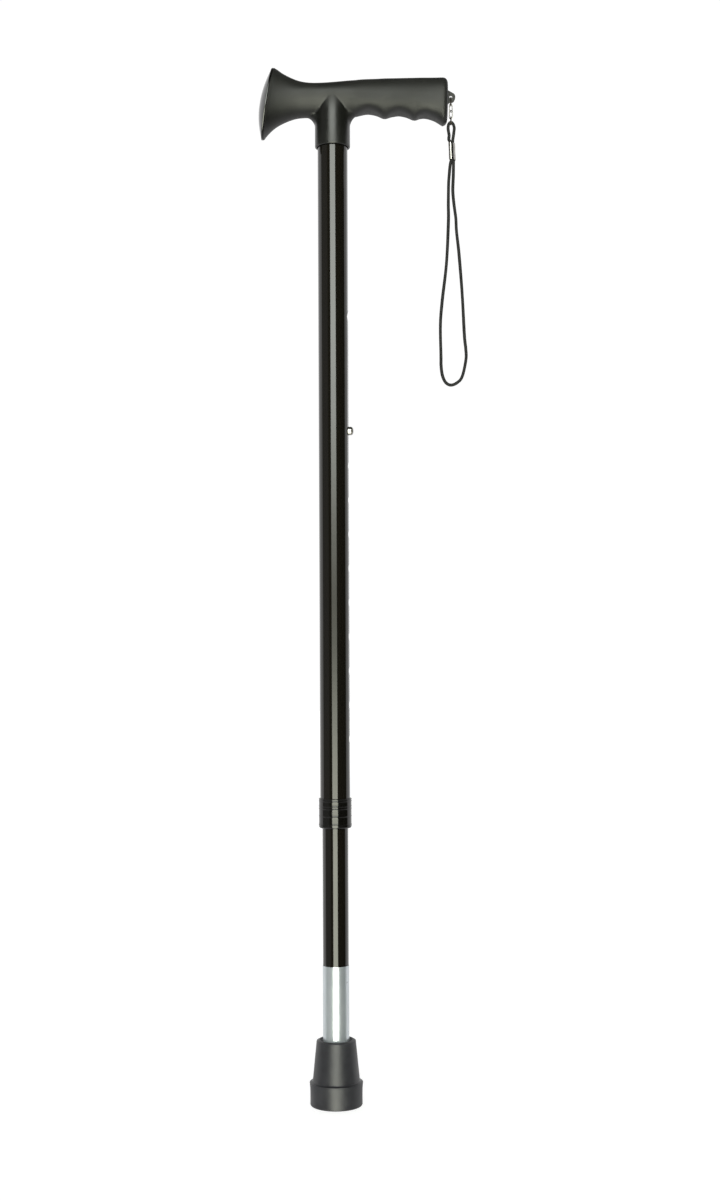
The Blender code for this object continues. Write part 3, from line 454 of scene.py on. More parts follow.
# Each station along the grip: X and height of its top, X and height of its bottom, half its
# width, the height of its widest line, and the powers of its upper and its lower half.
GRIP_STATIONS = (
    (-42.8, 22.2, -51.3, -30.0, 17.5, -3.9, 2.2, 2.2),
    (-40.2, 20.6, -47.8, -25.7, 16.5, -2.4, 2.2, 2.2),
    (-36.3, 17.9, -42.3, -20.8, 15.4, -1.0, 2.1, 2.2),
    (-30.5, 14.8, -35.0, -16.9, 14.3, 0.3, 2.1, 2.2),
    (-24.0, 12.3, -27.0, -14.2, 13.6, 1.3, 2.0, 2.2),
    (-16.5, 11.0, -18.0, -13.5, 13.2, 2.0, 2.0, 2.2),
    (-8.0, 11.0, -8.5, -13.3, 13.1, 2.0, 2.0, 2.1),
    (1.0, 11.6, 1.0, -13.3, 13.1, 2.0, 2.0, 2.1),
    (9.5, 12.4, 9.5, -13.3, 13.1, 2.0, 2.0, 2.1),
    (17.0, 13.0, 17.0, -12.7, 13.2, 1.6, 2.0, 2.5),
    (22.0, 13.4, 22.0, -10.9, 13.3, 1.2, 2.1, 3.2),
    (27.0, 13.6, 27.0, -9.7, 13.4, 0.8, 2.1, 4.0),
    (33.0, 13.8, 33.0, -11.4, 13.4, 0.6, 2.1, 3.2),
    (38.5, 14.1, 38.5, -14.3, 13.4, 0.5, 2.1, 2.4),
    (44.0, 14.2, 44.0, -12.3, 13.4, 0.4, 2.1, 3.2),
    (49.5, 14.3, 49.5, -11.1, 13.4, 0.3, 2.1, 4.0),
    (55.0, 14.4, 55.0, -12.7, 13.4, 0.2, 2.1, 3.2),
    (60.6, 14.5, 60.6, -15.6, 13.4, 0.1, 2.1, 2.4),
    (65.0, 14.6, 65.0, -13.8, 13.4, 0.0, 2.1, 3.2),
    (69.5, 14.6, 69.5, -13.4, 13.4, 0.0, 2.1, 3.6),
    (75.5, 14.5, 75.5, -15.7, 13.4, 0.0, 2.2, 3.0),
    (81.8, 14.5, 81.4, -19.8, 13.4, 0.0, 2.3, 2.6),
)


def grip_ring(station, inset=0.0, shift=0.0):
    """One ring round the grip, drawn in by `inset` and moved along X by `shift`."""
    top_x, top, bottom_x, bottom, half_width, middle = (value * MM for value in station[:6])
    slope = (top_x - bottom_x) / (top - bottom)
    points = []
    for i in range(GRIP_SIDES):
        angle = 2 * math.pi * i / GRIP_SIDES
        c, s = math.cos(angle), math.sin(angle)
        power = station[6] if s >= 0 else station[7]
        reach = (top - middle if s >= 0 else middle - bottom) - inset
        y = (half_width - inset) * math.copysign(abs(c) ** (2 / power), c)
        rise = middle + reach * math.copysign(abs(s) ** (2 / power), s)
        points.append((bottom_x + slope * (rise - bottom) + shift, y, GRIP_HEIGHT + rise))
    return points


def round_ring(height, front, back, side):
    """A level ring round the shaft, which may reach further to the front or to the back."""
    points = []
    for i in range(GRIP_SIDES):
        angle = 2 * math.pi * i / GRIP_SIDES
        reach = back if math.cos(angle) >= 0 else front
        points.append((reach * math.cos(angle), side * math.sin(angle), height))
    return points


def evaluated(piece):
    """The piece's mesh with its modifiers applied, as a bmesh. The piece itself is removed."""
    depsgraph = bpy.context.evaluated_depsgraph_get()
    mesh = bpy.data.meshes.new_from_object(piece.evaluated_get(depsgraph), depsgraph=depsgraph)
    bm = bmesh.new()
    bm.from_mesh(mesh)
    bpy.data.meshes.remove(mesh)
    bpy.data.objects.remove(piece, do_unlink=True)
    return bm


stations = smooth_rows(GRIP_STATIONS, STATION_STEPS)
rings = [grip_ring(stations[0], shift=-1.5 * MM)]
rings += [grip_ring(station) for station in stations]
for turn in range(15, 91, 15):
    angle = math.radians(turn)
    inset = END_ROUNDING * (1 - math.cos(angle))
    rings.append(grip_ring(stations[-1], inset=inset, shift=END_ROUNDING * math.sin(angle)))
bm = bmesh.new()
skinned(bm, rings)

# The socket is a round post that runs up into the grip, which leaves a pointed arch on each
# side, and two horns spread from it under the grip.
lip = GRIP_HEIGHT - SOCKET_BELOW_GRIP
bore = TUBE_RADIUS + FIT
rings = [round_ring(lip + SOCKET_RECESS, bore, bore, bore), round_ring(lip, bore, bore, bore)]
for turn in (0, 30, 60, 90):
    angle = math.radians(turn)
    r = SOCKET_RADIUS - SOCKET_EDGE * (1 - math.sin(angle))
    rings.append(round_ring(lip + SOCKET_EDGE * (1 - math.cos(angle)), r, r, r))
rings.append(round_ring(GRIP_HEIGHT + 1.5 * MM, SOCKET_RADIUS, SOCKET_RADIUS, SOCKET_RADIUS))
skinned(bm, rings)
rings = []
for turn in range(0, 91, 6):
    angle = math.radians(turn)
    spread, climb = 1 - math.cos(angle), math.sin(angle)
    inner = SOCKET_RADIUS - 0.1 * MM
    front, back = inner + ARCH_FRONT * spread, inner + ARCH_BACK * spread
    ring = []
    for x, y, z in round_ring(GRIP_HEIGHT - ARCH_FOOT, front, back, inner - ARCH_SIDE * spread):
        toward_end = 0.5 + 0.5 * max(-1.0, min(1.0, x / (10 * MM)))
        ring.append((x, y, z + (9.0 + 2.0 * toward_end) * MM * climb))
    rings.append(ring)
rings.append([(0.9 * x, 0.9 * y, z + 3 * MM) for x, y, z in rings[-1]])
skinned(bm, rings)
bmesh.ops.recalc_face_normals(bm, faces=bm.faces)

satin, tree, shader = new_finish("satin_black_plastic", (0.009, 0.009, 0.008), 0.4)
rough_cast = made_piece("rough_handle", bm, satin)
remesh = rough_cast.modifiers.new("one_skin", "REMESH")
remesh.mode = "VOXEL"
remesh.voxel_size = VOXEL
remesh.adaptivity = 0.0
handle_mesh = evaluated(rough_cast)


def smoothed(bm, verts, factors):
    """Smooths the points once for each factor. A negative one swells them back."""
    for factor in factors:
        bmesh.ops.smooth_vert(
            bm, verts=verts, factor=factor, use_axis_x=True, use_axis_y=True, use_axis_z=True
        )


smoothed(handle_mesh, handle_mesh.verts, (0.5, -0.52) * 5)
blended = []
for vert in handle_mesh.verts:
    rise = vert.co.z - GRIP_HEIGHT
    if 9.0 * MM < abs(vert.co.x) < 27 * MM and -ARCH_FOOT < rise < -8.0 * MM:
        blended.append(vert)
smoothed(handle_mesh, blended, (0.5,) * 36)
smoothed(handle_mesh, handle_mesh.verts, (0.5, -0.52) * 2)

# The nose is trimmed to the slanted plane on which the cap sits.
seam = grip_ring(stations[0])
slant = Vector(seam[GRIP_SIDES // 4]) - Vector(seam[3 * GRIP_SIDES // 4])
everything = handle_mesh.verts[:] + handle_mesh.edges[:] + handle_mesh.faces[:]
cut = bmesh.ops.bisect_plane(
    handle_mesh,
    geom=everything,
    plane_co=seam[0],
    plane_no=(-slant.z, 0, slant.x),
    clear_outer=True,
)["geom_cut"]
rim = [e for e in cut if isinstance(e, bmesh.types.BMEdge)]
bmesh.ops.contextual_create(handle_mesh, geom=rim)

# Its strap lug is a thin drilled ear, moulded on the end face of the grip.
GRIP_END = 85.4 * MM
LUG_HOLE = Vector((STRAP_X, 0, 746.4 * MM))
LUG_HALF = 0.8 * MM
LUG_REACH = 3.3 * MM
LUG_BORE = 1.05 * MM
LUG_CORNERS = ((50, 1), (37, 1), (25, 1), (12, 1), (0, 1), (-26, 1.04), (-59, 1.24), (-77, 1.31))
bm = bmesh.new()
outline = [(GRIP_END - 1.2 * MM, GRIP_HEIGHT + 6 * MM), (GRIP_END, GRIP_HEIGHT + 6 * MM)]
for turn, spread in LUG_CORNERS:
    angle, reach = math.radians(turn), LUG_REACH * spread
    outline.append((LUG_HOLE.x + reach * math.cos(angle), LUG_HOLE.z + reach * math.sin(angle)))
outline.append((GRIP_END + 1.2 * MM, GRIP_HEIGHT - 3.4 * MM))
outline.append((GRIP_END - 1.2 * MM, GRIP_HEIGHT - 6 * MM))
face = bm.faces.new([bm.verts.new((x, -LUG_HALF, z)) for x, z in outline])
grown = bmesh.ops.extrude_face_region(bm, geom=[face])["geom"]
far_side = [v for v in grown if isinstance(v, bmesh.types.BMVert)]
bmesh.ops.translate(bm, verts=far_side, vec=(0, 2 * LUG_HALF, 0))
bmesh.ops.recalc_face_normals(bm, faces=bm.faces)
ear = made_piece("rough_lug", bm, satin)


def drill(piece, name, holes, segments=32):
    """Cuts round holes, each given by its radius and its two ends."""
    bm = bmesh.new()
    for radius, start, end in holes:
        start, end = Vector(start), Vector(end)
        along = end - start
        aim = along.to_track_quat("Z", "Y").to_matrix().to_4x4()
        bmesh.ops.create_cone(
            bm,
            cap_ends=True,
            segments=segments,
            radius1=radius,
            radius2=radius,
            depth=along.length,
            matrix=Matrix.Translation((start + end) / 2) @ aim,
        )
    cutter = made_piece(name, bm, piece.data.materials[0])
    cutter.hide_render = True
    modifier = piece.modifiers.new(name, "BOOLEAN")
    modifier.operation = "DIFFERENCE"
    modifier.solver = "EXACT"
    modifier.object = cutter
    return cutter


side = Vector((0, 3 * MM, 0))
cutter = drill(ear, "lug_drill", [(LUG_BORE, LUG_HOLE - side, LUG_HOLE + side)])
softened = ear.modifiers.new("softened", "BEVEL")
softened.width = 0.22 * MM
softened.segments = 3
softened.limit_method = "ANGLE"
softened.angle_limit = math.radians(50)
lug_mesh = evaluated(ear)
bpy.data.objects.remove(cutter, do_unlink=True)
lug_part = bpy.data.meshes.new("lug_part")
lug_mesh.to_mesh(lug_part)
lug_mesh.free()
handle_mesh.from_mesh(lug_part)
bpy.data.meshes.remove(lug_part)
handle = made_piece("moulded_handle", handle_mesh, satin, 50)
stands_for(handle, "handle_body", "upper")


def moulded_surface():
    """Moulded and painted skins: a fine grain or orange peel, and a gloss that drifts."""
    group = bpy.data.node_groups.new("moulded_surface", "ShaderNodeTree")
    for name, value in (
        ("Grain Scale", 1800.0),
        ("Grain Depth", 0.00001),
        ("Cloud Scale", 60.0),
        ("Smooth", 0.3),
        ("Rough", 0.5),
    ):
        socket = group.interface.new_socket(name=name, in_out="INPUT", socket_type="NodeSocketFloat")
        socket.default_value = value
    for name, kind in (("Roughness", "Float"), ("Cloud", "Float"), ("Normal", "Vector")):
        group.interface.new_socket(name=name, in_out="OUTPUT", socket_type="NodeSocket" + kind)
    inside = group.nodes.new("NodeGroupInput").outputs
    outside = group.nodes.new("NodeGroupOutput").inputs
    where = add(group, "TexCoord").outputs["Object"]
    grain = add(group, "TexNoise", {"Vector": where, "Scale": inside["Grain Scale"], "Detail": 2.5})
    bump = add(group, "Bump", {"Strength": 1.0, "Height": grain.outputs[0]})
    group.links.new(inside["Grain Depth"], bump.inputs["Distance"])
    cloud = add(group, "TexNoise", {"Vector": where, "Detail": 5.0, "Roughness": 0.62})
    group.links.new(inside["Cloud Scale"], cloud.inputs["Scale"])
    spread = ramp(group, cloud.outputs[0], 0.32, 0.68)
    rough = add(group, "Mix", {"Factor": spread, "A": inside["Smooth"], "B": inside["Rough"]})
    group.links.new(rough.outputs[0], outside["Roughness"])
    group.links.new(spread, outside["Cloud"])
    group.links.new(bump.outputs[0], outside["Normal"])
    return group


moulded = moulded_surface()
skin = skin_on(tree, shader, moulded, 1500.0, 0.00003, 45.0, 0.52, 0.62)
two_tone(tree, shader, skin.outputs["Cloud"], (0.0085, 0.0088, 0.0070), (0.0135, 0.0138, 0.0112))
place = add(tree, "SeparateXYZ", {0: add(tree, "TexCoord").outputs["Object"]})
off_middle = math_of(tree, "ABSOLUTE", place.outputs["Y"])
level_part = add(tree, "CombineXYZ", {0: place.outputs["X"], 1: place.outputs["Y"]}).outputs[0]
reach = add(tree, "VectorMath", {0: level_part}, operation="LENGTH").outputs["Value"]
on_post = ramp(tree, reach, SOCKET_RADIUS + 0.1 * MM, SOCKET_RADIUS + 0.8 * MM, 1.0, 0.0)
below = ramp(tree, place.outputs["Z"], 0.734, 0.743, 1.0, 0.0)
on_socket = math_of(tree, "MULTIPLY", below, on_post)
rubbed = math_of(tree, "MULTIPLY_ADD", on_socket, -SOCKET_POLISH, skin.outputs["Roughness"])
tree.links.new(rubbed, shader.inputs["Roughness"])
line = ramp(tree, off_middle, 0.04 * MM, 0.22 * MM, 1.0, 0.0)
parting = add(tree, "Bump", {"Strength": 1.0, "Distance": 0.06 * MM, "Height": line})
tree.links.new(skin.outputs["Normal"], parting.inputs["Normal"])
tree.links.new(parting.outputs[0], shader.inputs["Normal"])


# Nose cap: a glossy oval cover pressed into the flared nose. A flat edge band stands on the
# seam, and the face behind it swells to a low dome.
CAP_GAP = 0.3 * MM
CAP_BACK_EDGE = 0.3 * MM
CAP_FACE_EDGE = 0.35 * MM
CAP_BAND = 1.25 * MM
CAP_BULGE = 5.2 * MM
CAP_STEPS = 24
nose = stations[0]
rings = [grip_ring(nose, inset=inset, shift=-CAP_GAP) for inset in (1.6 * MM, CAP_BACK_EDGE)]
for turn in (30, 60, 90):
    angle = math.radians(turn)
    shift = -CAP_GAP - CAP_BACK_EDGE * (1 - math.cos(angle))
    rings.append(grip_ring(nose, inset=CAP_BACK_EDGE * (1 - math.sin(angle)), shift=shift))
for turn in (0, 30, 60, 90):
    angle = math.radians(turn)
    shift = -CAP_BAND - CAP_FACE_EDGE * math.sin(angle)
    rings.append(grip_ring(nose, inset=CAP_FACE_EDGE * (1 - math.cos(angle)), shift=shift))
rim = [Vector(p) for p in grip_ring(nose, inset=0.55 * MM, shift=-CAP_BAND - CAP_FACE_EDGE)]
centre = sum(rim, Vector()) / len(rim)
for step in range(CAP_STEPS):
    share = 1 - (step / CAP_STEPS) ** 1.4
    bulge = Vector((CAP_BULGE * (1 - share**2), 0, 0))
    rings.append([centre.lerp(point, share) - bulge for point in rim])
bm = bmesh.new()
skinned(bm, rings)
bmesh.ops.recalc_face_normals(bm, faces=bm.faces)
gloss, tree, shader = new_finish("gloss_black_plastic", (0.006, 0.006, 0.005), 0.1)
skin = skin_on(tree, shader, moulded, 420.0, 0.00001, 90.0, 0.07, 0.14)
two_tone(tree, shader, skin.outputs["Cloud"], (0.0052, 0.0050, 0.0040), (0.0082, 0.0080, 0.0066))
cap = made_piece("nose_cover", bm, gloss, 40)
stands_for(cap, "nose_cap", "upper")


# Upper tube: drawn aluminium, 22.2 mm across, stove-enamelled in gloss black. Ten holes at a
# pitch of one inch and a larger one above them are punched in the side under the grip's long end.
TUBE_SIDES = 128
TUBE_WALL = 1.2 * MM
TUBE_TOP = GRIP_HEIGHT - 0.5 * MM
UPPER_END = 215.0 * MM
BUTTON_HEIGHT = 499.3 * MM
HOLE_PITCH = 25.4 * MM
HOLE_RADIUS = 3.45 * MM
HOLE_COUNT = 10
HOLE_SIDES = 48
LARGE_HOLE_RADIUS = 4.2 * MM
LARGE_HOLE_HEIGHT = BUTTON_HEIGHT + 85.1 * MM
NECK_RADIUS = TUBE_RADIUS - 0.4 * MM
NECK_TOP = UPPER_END + 10.25 * MM


def turned(profile, segments=TUBE_SIDES):
    """Spins a closed outline of radius and height about Z."""
    bm = bmesh.new()
    verts = [bm.verts.new((r, 0, z)) for r, z in profile]
    sides = zip(verts, verts[1:] + verts[:1])
    edges = [bm.edges.new(pair) for pair in sides if max(v.co.x for v in pair) > 0]
    bmesh.ops.spin(
        bm,
        geom=verts + edges,
        cent=(0, 0, 0),
        axis=(0, 0, 1),
        angle=2 * math.pi,
        steps=segments,
        use_merge=True,
        use_duplicate=False,
    )
    bmesh.ops.remove_doubles(bm, verts=bm.verts, dist=1e-7)
    bmesh.ops.recalc_face_normals(bm, faces=bm.faces)
    return bm


def tube_profile(radius, bore, bottom, top):
    """A tube's wall in section, with its outer edges rounded."""
    edge = 0.25 * MM
    return [
        (bore, bottom),
        (radius - edge, bottom),
        (radius - 0.3 * edge, bottom + 0.3 * edge),
        (radius, bottom + edge),
        (radius, bottom + 4 * edge),
        (radius, top - 4 * edge),
        (radius, top - edge),
        (radius - 0.3 * edge, top - 0.3 * edge),
        (radius - edge, top),
        (bore, top),
    ]


def punched(name, bm, holes, finish):
    """A tube with its holes cut, and the edges of the holes rounded by the enamel."""
    tube = made_piece(name + "_blank", bm, finish)
    cutter = drill(tube, name + "_punch", holes, HOLE_SIDES)
    softened = tube.modifiers.new("softened", "BEVEL")
    softened.width = 0.15 * MM
    softened.segments = 2
    softened.limit_method = "ANGLE"
    softened.angle_limit = math.radians(40)
    bm = evaluated(tube)
    bpy.data.objects.remove(cutter, do_unlink=True)
    return made_piece(name, bm, finish, 50)


enamel, tree, shader = new_finish("gloss_black_enamel", (0.007, 0.007, 0.0075), 0.1)
skin = skin_on(tree, shader, moulded, 260.0, 0.000008, 30.0, 0.055, 0.10)
where = add(tree, "TexCoord").outputs["Object"]
specks = add(tree, "TexVoronoi", {"Vector": where, "Scale": 620.0, "Randomness": 1.0})
speck = ramp(tree, specks.outputs["Distance"], 0.05, 0.11, 1.0, 0.0)
patches = add(tree, "TexNoise", {"Vector": where, "Scale": 24.0, "Detail": 2.0})
dusty = ramp(tree, patches.outputs[0], 0.5, 0.7)
dust = math_of(tree, "MULTIPLY", math_of(tree, "MULTIPLY", speck, dusty), 0.35)
two_tone(tree, shader, dust, (0.0105, 0.0090, 0.0062), (0.10, 0.10, 0.095))
inside, outside = TUBE_RADIUS - 5 * MM, TUBE_RADIUS + 4 * MM
holes = []
for i in range(HOLE_COUNT):
    z = BUTTON_HEIGHT - i * HOLE_PITCH
    holes.append((HOLE_RADIUS, (inside, 0, z), (outside, 0, z)))
ends = [(x, 0, LARGE_HOLE_HEIGHT) for x in (inside, outside)]
holes.append((LARGE_HOLE_RADIUS, *ends))
profile = tube_profile(TUBE_RADIUS, TUBE_RADIUS - TUBE_WALL, UPPER_END, TUBE_TOP)
neck = tube_profile(NECK_RADIUS, TUBE_RADIUS - TUBE_WALL, UPPER_END, NECK_TOP)
shoulder = [(TUBE_RADIUS, NECK_TOP + 0.15 * MM), (TUBE_RADIUS, NECK_TOP + 1.25 * MM)]
blank = turned(neck[:7] + shoulder + profile[5:])
upper = punched("enamelled_upper_tube", blank, holes, enamel)
stands_for(upper, "upper_tube", "upper")


# Five pieces out of sight keep their own shapes and get a finish. The plug in the upper tube, the
# bush on the lower tube and the clamp ring are moulded in natural nylon. The screw that holds the
# handle on the plug, and the washer in the rubber tip, are zinc-plated steel.
def show_node(node, finish):
    """Gives a node that stays its finish."""
    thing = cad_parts[node]
    thing.data.materials.clear()
    thing.data.materials.append(finish)


nylon, tree, shader = new_finish("natural_nylon", (0.56, 0.56, 0.52), 0.45)
shader.inputs["Subsurface Weight"].default_value = 0.12
shader.inputs["Subsurface Radius"].default_value = (0.0012, 0.001, 0.0008)
skin = skin_on(tree, shader, moulded, 900.0, 0.00002, 120.0, 0.36, 0.52)
two_tone(tree, shader, skin.outputs["Cloud"], (0.52, 0.51, 0.46), (0.62, 0.62, 0.58))
zinc_steel, tree, shader = new_finish("zinc_steel", (0.58, 0.58, 0.57), 0.3, 1.0)
skin = skin_on(tree, shader, moulded, 2400.0, 0.000012, 260.0, 0.24, 0.42)
two_tone(tree, shader, skin.outputs["Cloud"], (0.50, 0.50, 0.47), (0.66, 0.66, 0.67))
for node in ("tube_top_plug", "guide_bush", "clamp_ring"):
    show_node(node, nylon)
for node in ("handle_screw", "tip_washer"):
    show_node(node, zinc_steel)


# Snap spring: a strip of spring steel bent to a V in the lower tube. Both its legs lie along the
# bore, and the button is riveted in a hole in one of them, which bends in when it is pressed.
LEG_X = 6.86 * MM
SPRING_WIDTH = 8.0 * MM
SPRING_THICKNESS = 0.6 * MM
SPRING_TOP = BUTTON_HEIGHT + 7.2 * MM
LEG_BOTTOM = BUTTON_HEIGHT - 9.3 * MM
BEND_HEIGHT = LEG_BOTTOM - 34.0 * MM
BEND_RADIUS = 1.8 * MM
RIVET_HOLE = 1.5 * MM
path = [(-LEG_X, SPRING_TOP), (-LEG_X, LEG_BOTTOM)]
for turn in range(180, 361, 20):
    angle = math.radians(turn)
    path.append((BEND_RADIUS * math.cos(angle), BEND_HEIGHT + BEND_RADIUS * math.sin(angle)))
path += [(LEG_X, LEG_BOTTOM), (LEG_X, SPRING_TOP)]
bm = bmesh.new()
verts = [bm.verts.new((x, -SPRING_WIDTH / 2, z)) for x, z in path]
edges = [bm.edges.new(pair) for pair in zip(verts, verts[1:])]
grown = bmesh.ops.extrude_edge_only(bm, edges=edges)["geom"]
far_side = [v for v in grown if isinstance(v, bmesh.types.BMVert)]
bmesh.ops.translate(bm, verts=far_side, vec=(0, SPRING_WIDTH, 0))
strip = made_piece("spring_strip", bm, zinc_steel)
thick = strip.modifiers.new("thick", "SOLIDIFY")
thick.thickness = SPRING_THICKNESS
thick.offset = 0.0
thick.use_even_offset = True
start, end = (LEG_X - 2 * MM, 0, BUTTON_HEIGHT), (LEG_X + 2 * MM, 0, BUTTON_HEIGHT)
cutter = drill(strip, "rivet_drill", [(RIVET_HOLE, start, end)])
bm = evaluated(strip)
bpy.data.objects.remove(cutter, do_unlink=True)
bmesh.ops.recalc_face_normals(bm, faces=bm.faces)
spring = made_piece("bent_spring", bm, zinc_steel, 30)
stands_for(spring, "snap_spring", "lower")
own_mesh(spring)


# Snap button: turned steel with a bright nickel plate, on the leaf spring inside the lower tube.
# Its dome stands in the top hole of the row.
BUTTON_RADIUS = 3.15 * MM
BUTTON_TIP = TUBE_RADIUS + 3.6 * MM
BUTTON_DOME = 2.2 * MM
BUTTON_SIDES = 48
RIVET_HEAD = 2.0 * MM
RIVET_SHANK = 1.2 * MM
behind_leg, before_leg = LEG_X - 0.6 * MM, LEG_X + 0.6 * MM
profile = [(0, LEG_X - 1.4 * MM), (RIVET_HEAD, LEG_X - 1.4 * MM), (RIVET_HEAD, behind_leg)]
profile += [(RIVET_SHANK, behind_leg), (RIVET_SHANK, before_leg), (BUTTON_RADIUS, before_leg)]
for turn in range(0, 90, 9):
    angle = math.radians(turn)
    rise = BUTTON_DOME * math.sin(angle)
    profile.append((BUTTON_RADIUS * math.cos(angle) ** 0.75, BUTTON_TIP - BUTTON_DOME + rise))
profile.append((0, BUTTON_TIP))
bm = turned(profile, BUTTON_SIDES)
across = Matrix.Rotation(math.pi / 2, 3, "Y")
bmesh.ops.rotate(bm, verts=bm.verts, cent=(0, 0, 0), matrix=across)
bmesh.ops.translate(bm, verts=bm.verts, vec=(0, 0, BUTTON_HEIGHT))
button = made_piece("plated_button", bm, nickel, 35)
stands_for(button, "snap_button", "button")


# Lower tube: drawn aluminium, 19.2 mm across, in the same gloss enamel. It slides in the upper
# tube, and the button's hole is near its top.
LOWER_RADIUS = 9.6 * MM
LOWER_END = 9.1 * MM
LOWER_TOP = BUTTON_HEIGHT + 17.7 * MM
blank = turned(tube_profile(LOWER_RADIUS, LOWER_RADIUS - TUBE_WALL, LOWER_END, LOWER_TOP))
ends = [(LOWER_RADIUS + off, 0, BUTTON_HEIGHT) for off in (-5 * MM, 4 * MM)]
lower = punched("enamelled_lower_tube", blank, [(HOLE_RADIUS, *ends)], enamel)
stands_for(lower, "lower_tube", "lower")


# Lock ring: a glossy moulded collar on the upper tube's end. Thin ridges stand between shallow
# hollow bands, and turning it draws the clamp ring onto the lower tube.
RING_TOP = UPPER_END + 12.4 * MM
RING_BOTTOM = UPPER_END - 9.5 * MM
RIDGE_RADIUS = 12.4 * MM
RING_CORNER = 1.25 * MM
RING_RIDGES = (20.0, 16.2, 14.4, 8.8, 2.8)
BAND_DEPTH = 0.30 * MM
mouth, passage = TUBE_RADIUS + FIT, LOWER_RADIUS + FIT
profile = [(mouth + 0.1 * MM, RING_TOP - 0.5 * MM), (RIDGE_RADIUS - 0.5 * MM, RING_TOP - 0.25 * MM)]
profile += [(RIDGE_RADIUS - 0.3 * MM, RING_TOP), (RIDGE_RADIUS - 0.1 * MM, RING_TOP - 0.05 * MM)]
heights = [RING_TOP - 0.25 * MM] + [RING_BOTTOM + h * MM for h in RING_RIDGES]
for upper_edge, lower_edge in zip(heights, heights[1:]):
    slope = []
    for away in (0.0, 0.06, 0.14, 0.24, 0.36, 0.52, 0.75, 1.1, 1.6):
        if away * MM < (upper_edge - lower_edge) / 2:
            r = RIDGE_RADIUS - BAND_DEPTH * (1 - math.exp(-away / 0.25))
            slope.append((r, away * MM))
    profile += [(r, upper_edge - away) for r, away in slope]
    profile += [(r, lower_edge + away) for r, away in reversed(slope)]
for turn in range(0, 91, 15):
    angle = math.radians(turn)
    r = RIDGE_RADIUS - 0.25 * MM - RING_CORNER * (1 - math.cos(angle))
    profile.append((r, RING_BOTTOM + RING_CORNER - RING_CORNER * math.sin(angle)))
profile += [(passage, RING_BOTTOM), (passage, RING_BOTTOM + 3 * MM), (mouth, RING_BOTTOM + 4 * MM)]
profile += [(mouth, RING_TOP - 0.6 * MM)]
ring = made_piece("ribbed_lock_ring", turned(profile), gloss, 28)
stands_for(ring, "lock_ring", "ring")


# Label: a plain band of silver film wrapped once round the lower tube, its ends meeting at the
# back. It is bare, with a few soft creases where it goes into the tip.
LABEL_BOTTOM, LABEL_TOP = 46.4 * MM, 103.7 * MM
LABEL_RADIUS = LOWER_RADIUS + 0.12 * MM
FILM_THICKNESS = 0.09 * MM
SEAM_HALF = math.radians(0.9)
LABEL_LEVELS, LABEL_SIDES = 28, 120
film, tree, shader = new_finish("silver_film", (0.66, 0.72, 0.77), 0.3, 0.55)
bm = bmesh.new()
column = []
for i in range(LABEL_LEVELS + 1):
    z = LABEL_BOTTOM + (LABEL_TOP - LABEL_BOTTOM) * i / LABEL_LEVELS
    column.append(bm.verts.new((0, LABEL_RADIUS, z)))
edges = [bm.edges.new(pair) for pair in zip(column, column[1:])]
past_seam = Matrix.Rotation(SEAM_HALF, 3, "Z")
bmesh.ops.rotate(bm, verts=column, cent=(0, 0, 0), matrix=past_seam)
bmesh.ops.spin(
    bm,
    geom=column + edges,
    cent=(0, 0, 0),
    axis=(0, 0, 1),
    angle=2 * math.pi - 2 * SEAM_HALF,
    steps=LABEL_SIDES,
    use_duplicate=False,
)
bmesh.ops.remove_doubles(bm, verts=bm.verts, dist=1e-7)
bmesh.ops.recalc_face_normals(bm, faces=bm.faces)
if sum(f.normal.dot(f.calc_center_median() * Vector((1, 1, 0))) for f in bm.faces) < 0:
    bmesh.ops.reverse_faces(bm, faces=bm.faces)
bmesh.ops.solidify(bm, geom=list(bm.faces), thickness=-FILM_THICKNESS)
bmesh.ops.recalc_face_normals(bm, faces=bm.faces)
label = made_piece("silver_band", bm, film, 40)
stands_for(label, "label_band", "lower")
place = add(tree, "TexCoord").outputs["Object"]
height = add(tree, "SeparateXYZ", {0: place}).outputs["Z"]
low = ramp(tree, height, 0.048, 0.062, 1.0, 0.12)
creases = add(tree, "TexNoise", {"Vector": place, "Scale": 170.0, "Detail": 2.0, "Distortion": 1.5})
folds = math_of(tree, "MULTIPLY", creases.outputs[0], low)
fibre = add(tree, "TexNoise", {"Vector": place, "Scale": 1900.0, "Detail": 2.0})
relief = math_of(tree, "MULTIPLY_ADD", fibre.outputs[0], 0.02, folds)
bump = add(tree, "Bump", {"Strength": 0.8, "Distance": 0.0003, "Height": relief})
tree.links.new(bump.outputs[0], shader.inputs["Normal"])
cloud = add(tree, "TexNoise", {"Vector": place, "Scale": 80.0, "Detail": 4.0})
rough = ramp(tree, cloud.outputs[0], 0.3, 0.7, 0.27, 0.36)
tree.links.new(rough, shader.inputs["Roughness"])
two_tone(tree, shader, cloud.outputs[0], (0.56, 0.61, 0.65), (0.65, 0.69, 0.71))


# Rubber tip: a moulded ferrule of black rubber, pushed on the lower tube over a steel washer.
# Its mouth flares open, its cone stands on a wider foot, and two grooves make the tread.
TIP_HEIGHT = 48.9 * MM
TIP_BORE = LOWER_RADIUS + FIT
TIP_RIM = 14.6 * MM
GROOVE_DEPTH = 1.6 * MM


def rounded(centre, radius, start, end, steps):
    """Points on an arc of the outline, angles in degrees from straight out."""
    points = []
    for i in range(steps + 1):
        angle = math.radians(start + (end - start) * i / steps)
        points.append((centre[0] + radius * math.cos(angle), centre[1] + radius * math.sin(angle)))
    return points


